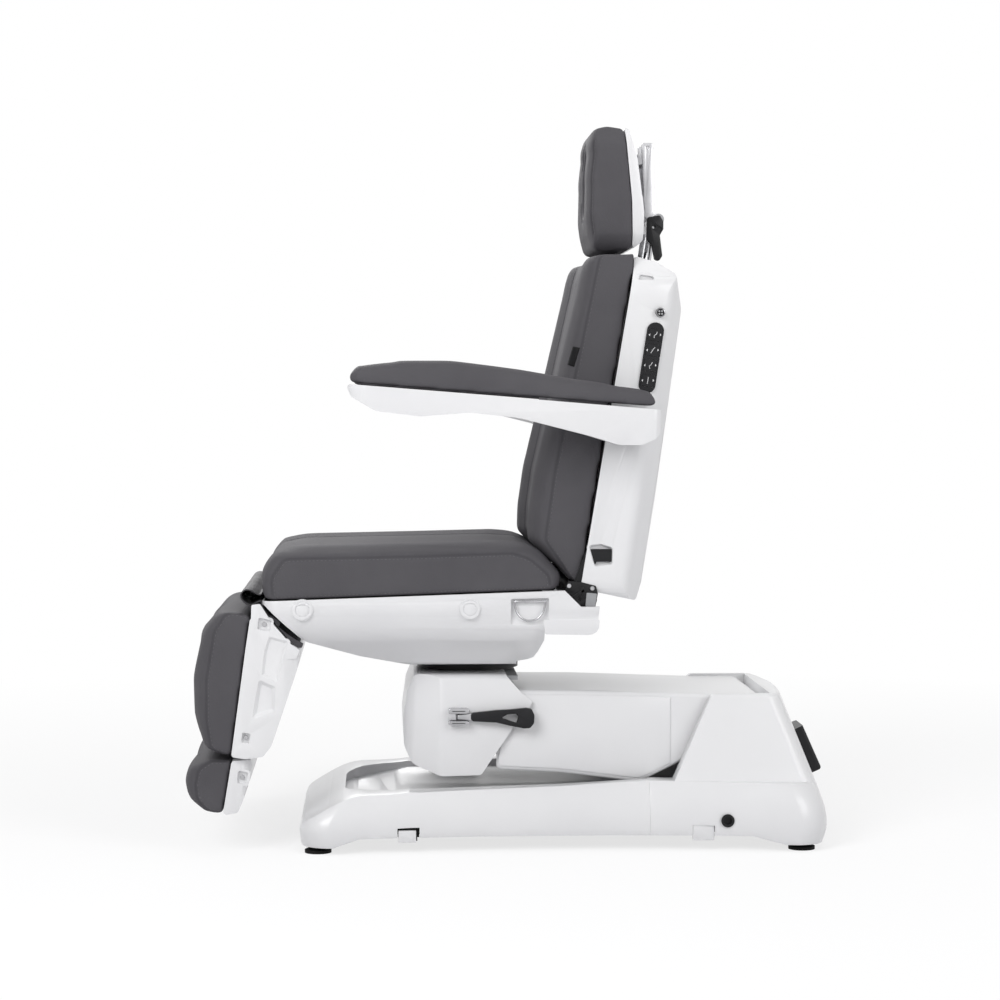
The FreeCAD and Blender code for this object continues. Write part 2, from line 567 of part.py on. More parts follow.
def build_base_frame():
    low_high = ("frame_low", "frame_high")
    crosses = []
    for name, place in (("FrontCross", "foot_front_y"), ("RearCross", "foot_rear_y")):
        crosses.append(frame_tube(name, ("-frame_half", "frame_half"),
                                  (place + " - cross_wide / 2", place + " + cross_wide / 2"), low_high, "x"))
    rail = frame_tube("Rail", ("rail_in", "rail_out"),
                      ("foot_front_y + cross_wide / 2", "foot_rear_y - cross_wide / 2"), low_high, "y")
    motor_plate = box("MotorPlate", ("-rail_in", "rail_in"), ("box_front", "box_rear"),
                      ("frame_low", "frame_low + floor_plate * 3 / 4"))
    column_plate = box("ColumnFloor", ("-rail_in", "rail_in"),
                       ("lift_y - lever_root * 3", "foot_rear_y - cross_wide / 2"),
                       ("frame_low", "frame_low + floor_plate"))
    floor_top = "frame_low + floor_plate"
    cheek = plate("ColumnCheek", [("lift_y - lever_root * 5 / 2", floor_top),
                                  ("lift_y + lever_root * 5 / 2", floor_top),
                                  ("lift_y + shaft_round * 4 / 3", "lift_z - shaft_round * 4"),
                                  ("lift_y + shaft_round * 4 / 3", "lift_z + shaft_round * 3 / 2"),
                                  ("lift_y - shaft_round * 4 / 3", "lift_z + shaft_round * 3 / 2"),
                                  ("lift_y - shaft_round * 4 / 3", "lift_z - shaft_round * 4")],
                  "column_plate_x", "plate")
    ear = plate("LinkEar", [("lift_y - link_round * 2", floor_top), ("lift_y + link_round * 2", floor_top),
                            ("lift_y + link_round", "lift_z - link_drop + link_round"),
                            ("lift_y - link_round", "lift_z - link_drop + link_round")],
                "bracket_x", "plate")
    shaft = rod("LiftShaft", "x", ("lift_y", "lift_z"), ("-column_plate_x - plate", "column_plate_x + plate"),
                "shaft_round")
    link_pin = rod("LinkPin", "x", ("lift_y", "lift_z - link_drop"), ("-bracket_x - plate",
                                                                      "bracket_x + plate"),
                   "pin_round")
    pads = []
    for name, place in (("FrontLift", "notch_front_y"), ("RearLift", "notch_rear_y")):
        pads.append(box(name, ("rail_out", "base_waist - skin"), (place + " + skin",
                                                                  place + " + notch_long - skin"),
                        ("base_low + skin * 2", "notch_top - skin")))
    solid = fuse("FrameSolid", *crosses, both("Rails", rail), motor_plate, column_plate, both("Cheeks",
                                                                                              cheek),
                 both("LinkEars", ear), shaft, link_pin, both("LiftPads", fuse("LiftPadHalf", *pads)))
    holes = []
    for name, place in (("FrontStudHole", "foot_front_y"), ("RearStudHole", "foot_rear_y")):
        hole = rod(name, "z", ("foot_x", place), ("frame_low - overrun", "frame_high + overrun"),
                   "stud_round + run_gap")
        holes.append(both(name + "Pair", hole))
    node("base_frame", cut("BaseFrame", solid, *holes))


def build_feet():
    for side, x in (("right", "-foot_x"), ("left", "foot_x")):
        for end, y in (("front", "foot_front_y"), ("rear", "foot_rear_y")):
            name = "Foot" + side.title() + end.title()
            sole = rod(name + "Sole", "z", (x, y), ("0", "foot_thick / 2"), "foot_round")
            crown = doc.addObject("Part::Cone", name + "Crown")
            bind(crown, "Placement.Base.x", x)
            bind(crown, "Placement.Base.y", y)
            bind(crown, "Placement.Base.z", "foot_thick / 2")
            bind(crown, "Radius1", "foot_round")
            bind(crown, "Radius2", "nut_round")
            bind(crown, "Height", "foot_thick / 2")
            stud = rod(name + "Stud", "z", (x, y), ("0", "foot_thick + stud_long"), "stud_round")
            nut = doc.addObject("Part::Prism", name + "Nut")
            nut.Polygon = 6
            bind(nut, "Circumradius", "nut_round")
            bind(nut, "Height", "nut_thick")
            bind(nut, "Placement.Base.x", x)
            bind(nut, "Placement.Base.y", y)
            bind(nut, "Placement.Base.z", "frame_low - run_gap - nut_thick")
            node("levelling_foot_%s_%s" % (end, side), fuse(name, sole, crown, stud, nut))


def lift_pin_place():
    """The lift lever's pin at rest."""
    swing = math.radians(s.lift_half_deg)
    return (s.lift_y + s.lift_lever * math.sin(swing), s.lift_z - s.lift_lever * math.cos(swing))


def build_lift_motor():
    axis = ("motor_x", "motor_z")
    plate_top = "frame_low + floor_plate * 3 / 4"
    tube = rod("LiftTube", "y", axis, ("gear_rear", "lift_tube_rear"), "lift_tube_round")
    gear = box("LiftGear", ("gear_left", "gear_right"), ("gear_front", "gear_rear"), (plate_top, "gear_top"))
    can = rod("LiftCan", "y", ("can_x", "motor_z"), ("gear_rear", "can_rear"), "can_round")
    lug = box("LiftLug", ("motor_x - pin_round", "motor_x + pin_round"), ("box_front", "gear_front"),
              (plate_top, "motor_z + pin_round"))
    bore = rod("LiftBore", "y", axis, ("gear_rear - plate * 3 / 2", "lift_tube_rear + overrun"),
               "ram_round + run_gap")
    node("lift_actuator", cut("LiftActuator", fuse("LiftMotorSolid", tube, gear, can, lug), bore))

    low, high = lift_pin_place()[1], s.lift_z - s.lift_lever
    y = lift_pin_place()[0]
    wall, play = s.yoke_wall, s.lift_pin + s.yoke_play
    x = (s.motor_x - s.yoke_half, s.motor_x + s.yoke_half)
    head = block(*x, y - play - wall, y + play + wall, high - play - wall, low + play + wall)
    slot = block(x[0] - s.overrun, x[1] + s.overrun, y - play, y + play, high - play, low + play)
    ram = pin("y", (s.motor_x, s.motor_z), (s.ram_root_y, y - play - wall / 2), s.ram_round)
    node("lift_rod", shaped("LiftRod", head.fuse(ram).cut(slot)))

    shell = box("ControlShell", ("box_left", "box_right"), ("box_front", "box_rear"), (plate_top, "box_top"))
    edges = doc.addObject("Part::Fillet", "ControlBox")
    edges.Base = shell
    doc.recompute()
    edges.Edges = [(index, s.box_edge, s.box_edge) for index, edge in enumerate(shell.Shape.Edges, start=1)
                   if edge.BoundBox.ZLength > s.box_edge]
    node("control_box", edges)


# Lift arm and its parallel link
arm_shares = [
    (0, 0.144, 0.1), (0.038, 0.967, 0.1), (0.094, 1, 0.22), (0.331, 0.994, 1.1), (0.804, 0.945, 0.6),
    (1, 0.945, 0.24), (1, 0.657, 0.1), (0.894, 0.514, 0.2), (0.54, 0, 0.2), (0.249, 0.105, 0.6),
]
# above this share of its height the arm cover's side edges are softened
arm_rim_share = 0.9


def build_lift_arm():
    first, second = ("lift_y", "lift_z"), ("head_y", "head_z")
    beam = bar("Beam", first, second, "beam_half", "beam_in", "beam_out - beam_in")
    rear_tube = rod("RearTube", "x", first, ("-column_plate_x + run_gap", "column_plate_x - run_gap"),
                    "beam_half + tube_wall")
    front_tube = rod("FrontTube", "x", second, ("-head_plate_x + run_gap", "head_plate_x - run_gap"),
                     "beam_half")
    tie = box("BeamTie", ("run_gap + skin - arm_half", "arm_half - skin - run_gap"),
              ("tie_y - tie_wide / 2", "tie_y + tie_wide / 2"),
              ("head_z", "head_z + beam_half"))
    y, z = lift_pin_place()
    solids = []
    for x in (s.motor_x - s.yoke_half - s.run_gap - s.plate, s.motor_x + s.yoke_half + s.run_gap):
        solids.append(lever((s.lift_y, s.lift_z), (y, z), s.lever_root, s.lever_round, x, x + s.plate))
    reach = s.yoke_half + s.run_gap + s.plate
    solids.append(pin("x", (y, z), (s.motor_x - reach, s.motor_x + reach), s.lift_pin))
    levers = shaped("LiftLevers", solids[0].multiFuse(solids[1:]))
    solid = fuse("ArmSolid", both("Beams", beam), rear_tube, front_tube, tie, levers)
    bores = [rod(name, "x", place, ("-head_plate_x", "head_plate_x"), "shaft_round + run_gap")
             for name, place in (("RearBore", first), ("FrontBore", second))]
    node("lift_arm_frame", cut("ArmFrame", solid, *bores))

    corners = spread(arm_shares, (s.arm_front, s.arm_low), (s.arm_rear, s.arm_top))
    outer = side_prism(corners, -s.arm_half, s.arm_half)
    rims = [edge for edge in outer.Edges if abs(edge.CenterOfMass.x) > s.arm_half - s.run_gap
            and edge.CenterOfMass.z > s.arm_low + (s.arm_top - s.arm_low) * arm_rim_share]
    outer = outer.makeFillet(s.skin * 2, rims)
    inner = side_prism(corners, s.skin - s.arm_half, s.arm_half - s.skin, s.skin)
    reach = 3 * s.skin
    cavity = opened(inner, (0, 0, -reach), (0, -reach, 0), (0, -reach, -reach))
    cover = outer.cut(cavity).cut(block(-s.arm_half, s.arm_half, s.arm_front - s.overrun,
                                        s.arm_front + s.skin * 2,
                                        s.arm_low, s.arm_top))
    node("lift_arm_cover", shaped("ArmCover", max(cover.Solids, key=lambda solid: solid.Volume)))

    panel = side_prism(corners, s.arm_half, s.arm_half + s.panel_thick, s.panel_inset)
    panel = panel.common(block(s.arm_half, s.arm_half + s.panel_thick, s.arm_front, s.panel_rear,
                               s.arm_low, s.arm_top))
    node("lift_arm_side_panels", both("SidePanels", shaped("SidePanel", panel)))

    low_first, low_second = ("lift_y", "lift_z - link_drop"), ("head_y", "head_z - link_drop")
    link = bar("Link", low_first, low_second, "link_round", "-link_half", "2 * link_half")
    ends = [rod(name, "x", place, ("-link_half - overrun", "link_half + overrun"), "pin_round + run_gap")
            for name, place in (("LinkRearBore", low_first), ("LinkFrontBore", low_second))]
    node("parallel_link", cut("ParallelLink", link, *ends))


# Head, bearing and swivel lock
head_shares = [
    (0.068, 0.112, 0.11), (0.008, 0.281, 0.11), (0, 0.53, 0.16), (0.032, 0.83, 0.1), (0.092, 1, 0.06),
    (0.785, 1, 0.06), (0.908, 0.822, 0.06), (1, 0.724, 0.04), (0.869, 0.525, 0.11), (0.598, 0.01, 0.05),
    (0.287, 0, 0.11),
]


def head_plan(inset):
    half, nose = s.head_half - inset, s.head_front_half - inset
    front = s.head_front - s.overrun + inset
    slope = front + (s.head_half - s.head_front_half) * 2
    rear = s.head_rear + s.head_half
    return [(-nose, front, s.head_round), (nose, front, s.head_round), (half, slope, s.head_round),
            (half, rear, 0), (-half, rear, 0), (-half, slope, s.head_round)]


def build_head():
    corners = spread(head_shares, (s.head_front, s.head_low), (s.head_rear, s.head_top))
    half = s.head_half
    def form(inset):
        front_view = [(-half, s.head_low - s.head_half, 0), (half, s.head_low - s.head_half, 0),
                      (half, s.head_top, s.head_edge), (-half, s.head_top, s.head_edge)]
        blank = side_prism(corners, -half, half, inset)
        if inset:
            reach = 4 * s.skin
            blank = opened(blank, (0, reach, 0), (0, 0, -reach), (0, reach, -reach))
        plan = level_prism(head_plan(inset), s.head_low - half, s.head_top)
        front = front_prism(front_view, s.head_front - half, s.head_rear + half, inset)
        return blank.common(plan).common(front)
    hole = pin("z", (0, s.swivel_y), (s.head_low, s.head_top + s.overrun), s.bearing_neck + s.run_gap)
    housing = form(0).cut(form(s.skin)).cut(hole)
    housing = max(housing.Solids, key=lambda solid: solid.Volume)
    node("head_housing", shaped("HeadHousing", housing))

    deck_top = "head_top - skin - run_gap"
    deck = box("HeadDeck", ("-head_plate_x - head_plate_thick", "head_plate_x + head_plate_thick"),
               ("swivel_y - bearing_neck", "swivel_y + bearing_neck"), (deck_top + " - plate", deck_top))
    cheek = plate("HeadCheek", [
        ("swivel_y - bearing_neck * 3 / 4", deck_top), ("swivel_y + bearing_neck * 2 / 3", deck_top),
        ("head_y + beam_half + plate", "head_z"), ("head_y + link_round + plate",
                                                   "head_z - link_drop - link_round"),
        ("head_y - link_round - plate", "head_z - link_drop - link_round"), ("head_y - beam_half - plate",
                                                                             "head_z")],
        "head_plate_x", "head_plate_thick")
    ends = ("-head_plate_x - head_plate_thick", "head_plate_x + head_plate_thick")
    shaft = rod("HeadShaft", "x", ("head_y", "head_z"), ends, "shaft_round")
    low_pin = rod("HeadPin", "x", ("head_y", "head_z - link_drop"), ends, "pin_round")
    solid = fuse("HeadSolid", deck, both("HeadCheeks", cheek), shaft, low_pin)
    bore = rod("DeckBore", "z", ("0", "swivel_y"), ("head_z", "head_top + overrun"), "bearing_bore + run_gap")
    node("head_bracket", cut("HeadBracket", solid, bore))

    neck = rod("BearingNeck", "z", ("0", "swivel_y"), (deck_top, "head_top + run_gap"), "bearing_neck")
    flange = rod("BearingFlange", "z", ("0", "swivel_y"), ("head_top + run_gap", "bearing_top"),
                 "bearing_round")
    eye = rod("BearingBore", "z", ("0", "swivel_y"), (deck_top + " - overrun", "bearing_top + overrun"),
              "bearing_bore + run_gap")
    node("swivel_bearing", cut("SwivelBearing", fuse("BearingSolid", neck, flange), eye))


lock_handle_shares = [
    (0, 0.25, 0.1), (0.3, 0.3, 0.5), (0.72, 0, 0.6), (0.96, 0.05, 0.3), (1, 0.5, 0.3), (0.92, 0.9, 0.25),
    (0.7, 1, 0.5), (0.25, 0.78, 0.5), (0, 0.75, 0.1),
]


def build_lock():
    base = block(s.head_half + s.run_gap, s.clevis_out, s.clevis_front, s.clevis_rear, s.clevis_low,
                 s.clevis_high)
    base = base.makeFillet(s.clevis_ear / 2, [edge for edge in base.Edges if edge.BoundBox.ZLength > s.clevis_ear])
    gap = block(s.lock_x - s.lock_eye - 2 * s.run_gap, s.clevis_out + s.overrun, s.clevis_front - s.overrun,
                s.clevis_rear + s.overrun, s.clevis_low + s.clevis_ear, s.clevis_high - s.clevis_ear)
    bolt = pin("z", (s.lock_x, s.lock_y), (s.clevis_low, s.clevis_high), s.lock_pin)
    node("lock_clevis", shaped("LockClevis", base.cut(gap).fuse(bolt)))

    tall = s.lock_tall
    low = (s.lock_y, s.lock_z - tall / 2)
    outline = spread(lock_handle_shares, low, (s.lock_tip, low[1] + tall))
    handle = side_prism(outline, s.lock_x - s.lock_thick / 2, s.lock_x + s.lock_thick / 2)
    eye_room = s.clevis_high - s.clevis_low - 2 * s.clevis_ear - 2 * s.run_gap
    mouth = block(s.head_half, s.clevis_out + s.overrun, s.lock_y - s.lock_eye, s.clevis_rear + s.overrun,
                  s.lock_z - eye_room / 2, s.lock_z + eye_room / 2)
    outside = block(s.head_half, s.clevis_out + s.overrun, s.clevis_rear + s.overrun, s.lock_tip + s.overrun,
                    low[1] - s.overrun, low[1] + tall + s.overrun)
    eye = pin("z", (s.lock_x, s.lock_y), (s.lock_z - eye_room / 2, s.lock_z + eye_room / 2), s.lock_eye)
    slot_rear = s.lock_tip - s.lock_slot / 2
    slot = [(slot_rear - s.lock_slot, s.lock_z - s.lock_slot_tall / 2, s.lock_slot_tall / 3),
            (slot_rear, s.lock_z - s.lock_slot_tall / 2, s.lock_slot_tall / 3),
            (slot_rear, s.lock_z + s.lock_slot_tall / 2, s.lock_slot_tall / 3),
            (slot_rear - s.lock_slot, s.lock_z + s.lock_slot_tall / 2, s.lock_slot_tall / 3)]
    window = side_prism(slot, s.head_half, s.clevis_out + s.overrun)
    bore = pin("z", (s.lock_x, s.lock_y), (s.clevis_low, s.clevis_high), s.lock_pin + s.run_gap)
    handle = handle.common(mouth.fuse(outside)).fuse(eye).cut(window).cut(bore)
    node("swivel_lock_lever", shaped("LockLever", handle))


# Turntable and tilt motor
def build_turntable():
    disc_low = "bearing_top + disc_gap"
    disc = rod("Disc", "z", ("0", "swivel_y"), (disc_low, disc_low + " + disc_thick"), "disc_round")
    spigot = rod("Spigot", "z", ("0", "swivel_y"), ("head_top - skin - plate", disc_low), "bearing_bore")
    cable_bore = rod("CableBore", "z", ("0", "swivel_y"), ("head_z", "tilt_z"),
                     "bearing_bore - tube_wall * 2")
    upright = plate("Upright", [("swivel_y - upright_x * 4 / 5", disc_low), ("tilt_y - tilt_shaft", disc_low),
                                ("tilt_y + tilt_boss", "tilt_z - tilt_shaft"), ("tilt_y + tilt_boss",
                                                                                "tilt_z + tilt_shaft"),
                                ("tilt_y - tilt_shaft", "tilt_z + tilt_boss"), ("tilt_y - tilt_boss",
                                                                                "tilt_z")],
                    "upright_x", "plate")
    shaft = rod("TiltShaft", "x", ("tilt_y", "tilt_z"), ("-keel_x - plate - skin",
                                                         "keel_x + plate + skin"), "tilt_shaft")
    solid = fuse("TurntableSolid", disc, spigot, both("Uprights", upright), shaft)
    node("turntable", cut("Turntable", solid, cable_bore))

    disc_top = disc_low + " + disc_thick"
    tube = rod("TiltTube", "z", ("0", "tilt_pin_y"), (disc_top, "tilt_tube_top"), "tilt_tube")
    can = box("TiltCan", ("0", "tilt_can_wide"), ("tilt_pin_y - tilt_tube", "tilt_pin_y + tilt_tube"),
              (disc_top, "tilt_z"))
    bore = rod("TiltBore", "z", ("0", "tilt_pin_y"), ("tilt_ram_low - run_gap", "tilt_tube_top + overrun"),
               "tilt_ram + run_gap")
    node("tilt_actuator", cut("TiltActuator", fuse("TiltMotorSolid", tube, can), bore))

    ram = rod("TiltRam", "z", ("0", "tilt_pin_y"), ("tilt_ram_low", "tilt_pin_z - tilt_yoke_high / 2"),
              "tilt_ram")
    head = box("TiltYoke", ("-tilt_yoke_half", "tilt_yoke_half"), ("tilt_yoke_front", "tilt_yoke_rear"),
               ("tilt_pin_z - tilt_yoke_high / 2", "tilt_pin_z + tilt_yoke_high / 2"))
    slot = box("TiltSlot", ("-tilt_yoke_half - overrun", "tilt_yoke_half + overrun"),
               ("tilt_pin_y - tilt_pin - yoke_play", "tilt_yoke_rear - tilt_pin"),
               ("tilt_pin_z - tilt_pin - yoke_play", "tilt_pin_z + tilt_pin + yoke_play"))
    node("tilt_rod", cut("TiltRod", fuse("TiltRodSolid", head, ram), slot))


# Seat frame, motors and shell
def build_seat_frame():
    rail_low_high = ("seat_rail_low", "seat_rail_high")
    side = frame_tube("SeatRail", ("seat_rail_in", "seat_rail_out"),
                      ("seat_cross_front", "back_y - back_root * 2"), rail_low_high, "y")
    front = box("SeatFront", ("-seat_rail_in", "seat_rail_in"),
                ("seat_cross_front", "seat_cross_front + seat_cross_wide"), rail_low_high)
    rear = box("SeatRear", ("-seat_rail_in", "seat_rail_in"),
               ("seat_cross_rear", "seat_cross_rear + seat_cross_wide"), rail_low_high)
    keel = plate("Keel", [
        ("seat_cross_front + seat_cross_wide", "seat_rail_low"), ("tilt_y - tilt_boss * 2",
                                                                  "seat_rail_low - tilt_boss"),
        ("tilt_y - tilt_boss", "tilt_z - tilt_shaft / 2"), ("tilt_y - tilt_shaft", "tilt_z - tilt_boss"),
        ("tilt_y + tilt_shaft", "tilt_z - tilt_boss"), ("tilt_y + tilt_boss", "tilt_z - tilt_shaft / 2"),
        ("seat_cross_rear + seat_cross_wide", "seat_rail_low"), ("seat_cross_rear + seat_cross_wide",
                                                                 "seat_rail_high"),
        ("seat_cross_front + seat_cross_wide", "seat_rail_high")], "keel_x", "plate")
    lug = plate("TiltLug", [
        ("tilt_pin_y - tilt_pin * 2", "tilt_pin_z - tilt_pin * 2"), ("tilt_pin_y + tilt_pin * 2",
                                                                     "tilt_pin_z - tilt_pin * 2"),
        ("tilt_pin_y + tilt_pin * 3", "seat_rail_high"), ("tilt_pin_y - tilt_pin * 3", "seat_rail_high")],
        "tilt_yoke_half + run_gap", "plate")
    lug_bar = box("TiltLugBar", ("-keel_x", "keel_x"), ("tilt_pin_y - tilt_pin * 3",
                                                        "tilt_pin_y + tilt_pin * 3"),
                  ("seat_rail_high - plate", "seat_rail_high"))
    tilt_pin = rod("TiltPin", "x", ("tilt_pin_y", "tilt_pin_z"),
                   ("-tilt_yoke_half - run_gap - plate", "tilt_yoke_half + run_gap + plate"), "tilt_pin")
    hinge = plate("BackBracket", [
        ("seat_cross_rear", "seat_rail_low - skin"), ("back_y - skin", "seat_rail_low - skin"),
        ("back_y + back_root * 2 / 3", "back_z - back_root * 2 / 3"), ("back_y + back_root * 2 / 3",
                                                                       "back_z + back_root / 2"),
        ("back_y", "back_z + back_root * 3 / 4"), ("back_y - back_root", "back_z + back_root * 2 / 3"),
        ("back_y - back_root * 2", "seat_rail_high"), ("seat_cross_rear", "seat_rail_high")],
        "bracket_out - plate", "plate")
    back_shaft = rod("BackShaft", "x", ("back_y", "back_z"), ("-ear_x - plate", "ear_x + plate"),
                     "back_shaft")
    ears = [plate("LegEar" + name, [
        ("leg_y - leg_shaft * 3 / 2", "leg_z - leg_shaft"), ("leg_y + leg_shaft",
                                                             "leg_z - leg_shaft * 3 / 2"),
        ("seat_cross_front", "seat_rail_low"), ("seat_cross_front", "seat_rail_high"),
        ("leg_y", "leg_z + leg_shaft * 3 / 2"), ("leg_y - leg_shaft * 3 / 2", "leg_z + leg_shaft")],
        place, "plate") for name, place in (("Out", "leg_ear_x"), ("In", "leg_ear_x - 3 * plate"))]
    leg_shaft = rod("LegShaft", "x", ("leg_y", "leg_z"), ("leg_ear_x - 3 * plate", "leg_ear_x + plate"),
                    "leg_shaft")
    leg_hinge = fuse("LegHinge", *ears, leg_shaft)
    solid = fuse("SeatFrameSolid", both("SeatRails", side), front, rear, both("Keels", keel),
                 both("TiltLugs", lug),
                 lug_bar, tilt_pin, both("BackBrackets", hinge), back_shaft, both("LegHinges", leg_hinge))
    bore = rod("TiltHole", "x", ("tilt_y", "tilt_z"), ("-keel_x - plate - overrun",
                                                       "keel_x + plate + overrun"),
               "tilt_shaft + run_gap")
    node("seat_frame", cut("SeatFrame", solid, bore))


seat_shell_shares = [
    (0, 1.2, 0.02), (0, 0.96, 0.05), (0.006, 0.83, 0.08), (0.069, 0.57, 0.25), (0.126, 0.349, 0.3),
    (0.289, 0.134, 0.8), (0.44, 0, 0.4), (0.791, 0.007, 0.06), (0.819, 0.08, 0.06), (0.846, 0.463, 0.05),
    (0.976, 0.463, 0.06), (1, 0.8, 0.02), (1, 1.2, 0.02),
]


def seat_shell_form(inset):
    corners = spread(seat_shell_shares, (s.shell_front, s.shell_low), (s.shell_rear, s.shell_top))
    tall = s.shell_top + s.seat_corner * 2
    half, foot = s.seat_half, s.shell_foot_half
    view = [(-foot, s.shell_low, s.seat_corner), (foot, s.shell_low, s.seat_corner),
            (half, s.shell_crease, s.seat_corner * 3), (half, tall, 0), (-half, tall, 0),
            (-half, s.shell_crease, s.seat_corner * 3)]
    rear = s.shell_rear + s.seat_corner * 2
    plan = [(-half, s.shell_front, s.seat_corner), (half, s.shell_front, s.seat_corner), (half, rear, 0),
            (-half, rear, 0)]
    side = side_prism(corners, -half, half, inset)
    front = front_prism(view, s.shell_front, rear, inset)
    return side.common(front).common(level_prism(plan, s.shell_low, tall, inset))


def build_seat_shell():
    shell = seat_shell_form(0).cut(seat_shell_form(s.skin))
    half = s.seat_half + s.overrun
    high = s.shell_top + s.seat_corner * 2
    rear = s.shell_rear + s.overrun
    shell = shell.cut(block(-half, half, s.shell_front - s.overrun, rear, s.shell_top, high))
    slope = [(s.cushion_rear, s.shell_top + s.overrun, 0), (s.cushion_rear, s.shell_top, 0),
             (s.cushion_rear + (s.shell_top - s.ledge_top), s.ledge_top, s.skin), (rear, s.ledge_top, 0),
             (rear, s.shell_top + s.overrun, 0)]
    shell = shell.cut(side_prism(slope, -half, half))
    inside = s.seat_half - s.cheek_thick
    shell = shell.cut(block(-inside, inside, s.rear_wall_y, rear, s.shell_low, high))
    cheek_outline = [(s.rear_wall_y, s.shell_top, 0), (s.cushion_rear, s.shell_top, 0),
                     (s.cushion_rear + (s.shell_top - s.ledge_top), s.ledge_top, 0),
                     (s.shell_rear, s.ledge_top, 0), (s.shell_rear - s.skin, s.shell_crease, 0),
                     (s.rear_wall_y, s.shell_crease, 0)]
    for sign in (-1, 1):
        shell = shell.fuse(side_prism(cheek_outline, *span_x(sign, inside, s.seat_half - s.skin)))
        cap = span_x(sign, s.seat_half - s.cap_thick, s.seat_half + s.cap_thick)
        groove = span_x(sign, s.seat_half + s.cap_thick / 2, s.seat_half + s.cap_thick + s.overrun)
        for y in (s.cap_front_y, s.cap_rear_y):
            ring = pin("x", (y, s.cap_z), groove, s.cap_groove_out)
            ring = ring.cut(pin("x", (y, s.cap_z), groove, s.cap_groove_in))
            shell = shell.fuse(pin("x", (y, s.cap_z), cap, s.cap_round)).cut(ring)
        deep = s.seat_half - s.ring_pocket
        y0, y1 = s.ring_y - s.ring_wide / 2 - s.ring_edge, s.ring_y + s.ring_wide / 2 + s.ring_edge
        z1 = s.ring_z + s.ring_edge
        z0 = z1 - s.ring_drop - 2 * s.ring_edge
        turn = s.ring_edge / 2
        well = [(y0, z0, turn), (y1, z0, turn), (y1, z1, turn), (y0, z1, turn)]
        bed = side_prism(well, *span_x(sign, deep - s.skin, s.seat_half - s.skin), -s.skin)
        bed = bed.common(seat_shell_form(0))
        shell = shell.fuse(bed).cut(side_prism(well, *span_x(sign, deep, s.seat_half + s.overrun)))
    shell = shell.cut(block(-s.post_half, s.post_half, s.post_front, s.post_rear, s.shell_low - s.overrun,
                            s.shell_crease))
    room = s.back_ram + s.plate + s.swing_gap * 2
    front_low = s.leg_z - s.leg_lever - s.seat_corner
    for sign in (-1, 1):
        ears = span_x(sign, s.leg_ear_x - 3 * s.plate - s.swing_gap, s.leg_ear_x + s.plate + s.swing_gap)
        shell = shell.cut(block(*ears, s.shell_front - s.overrun, s.seat_cross_front,
                                s.ledge_top - s.seat_corner, s.shell_top))
    shell = shell.cut(block(s.leg_x - room, s.leg_x + room, s.shell_front - s.overrun,
                            s.leg_tube_front - s.skin,
                            front_low, s.shell_top))
    shell = max(shell.Solids, key=lambda solid: solid.Volume)
    node("seat_shell", shaped("SeatShell", shell))


def horizontal_yoke(pivot, reach, half_deg, pin_round, play, x, half, root_y, ram_round, axis_z):
    """A ram with an upright slot that follows a lever's pin from one side of its pivot to the other."""
    swing = math.radians(half_deg)
    y = pivot[0] + reach * math.sin(swing)
    high = pivot[1] - reach * math.cos(swing)
    low = pivot[1] - reach
    room = pin_round + play
    wall = s.skin
    head = block(x - half, x + half, y - room - wall, y + room + wall, low - room - wall, high + room + wall)
    slot = block(x - half - s.overrun, x + half + s.overrun, y - room, y + room, low - room, high + room)
    near = y - math.copysign(room + wall / 2, y - root_y)
    ram = pin("y", (x, axis_z), sorted((root_y, near)), ram_round)
    return head.fuse(ram).cut(slot)


def twin_lever(pivot, end, root, tip, x, half, pin_round):
    """Two lever plates beside a yoke and the pin through them."""
    near = half + s.run_gap
    plates = [lever(pivot, end, root, tip, x + near, x + near + s.plate),
              lever(pivot, end, root, tip, x - near - s.plate, x - near),
              pin("x", end, (x - near - s.plate, x + near + s.plate), pin_round)]
    return plates[0].multiFuse(plates[1:])


def seat_motor(name, x, z, tube_round, front, rear, gear_front, root):
    """A tube with its gear block and the lug that hangs it from the keel."""
    sign = "" if x == "back_x" else "-"
    tube = rod(name + "Tube", "y", (x, z), (front, rear), tube_round)
    reach = ("%s - %s" % (x, tube_round), "%s + %s" % (x, tube_round))
    gear = box(name + "Gear", reach, (gear_front, gear_front + " + gear_long"), (z + " - " + tube_round,
                                                                                 "seat_rail_low"))
    inner = ("keel_x + plate", reach[1]) if x == "back_x" else (reach[0], "-keel_x - plate")
    lug = box(name + "Lug", inner, (gear_front, gear_front + " + gear_long"), ("seat_rail_low",
                                                                               "seat_rail_high - plate"))
    bore = rod(name + "Bore", "y", (x, z), (root[0] + " - run_gap", root[1]), "back_ram + run_gap")
    return cut(name, fuse(name + "Solid", tube, gear, lug), bore)


leg_ram_z = "leg_z - leg_lever + skin * 3 / 2"


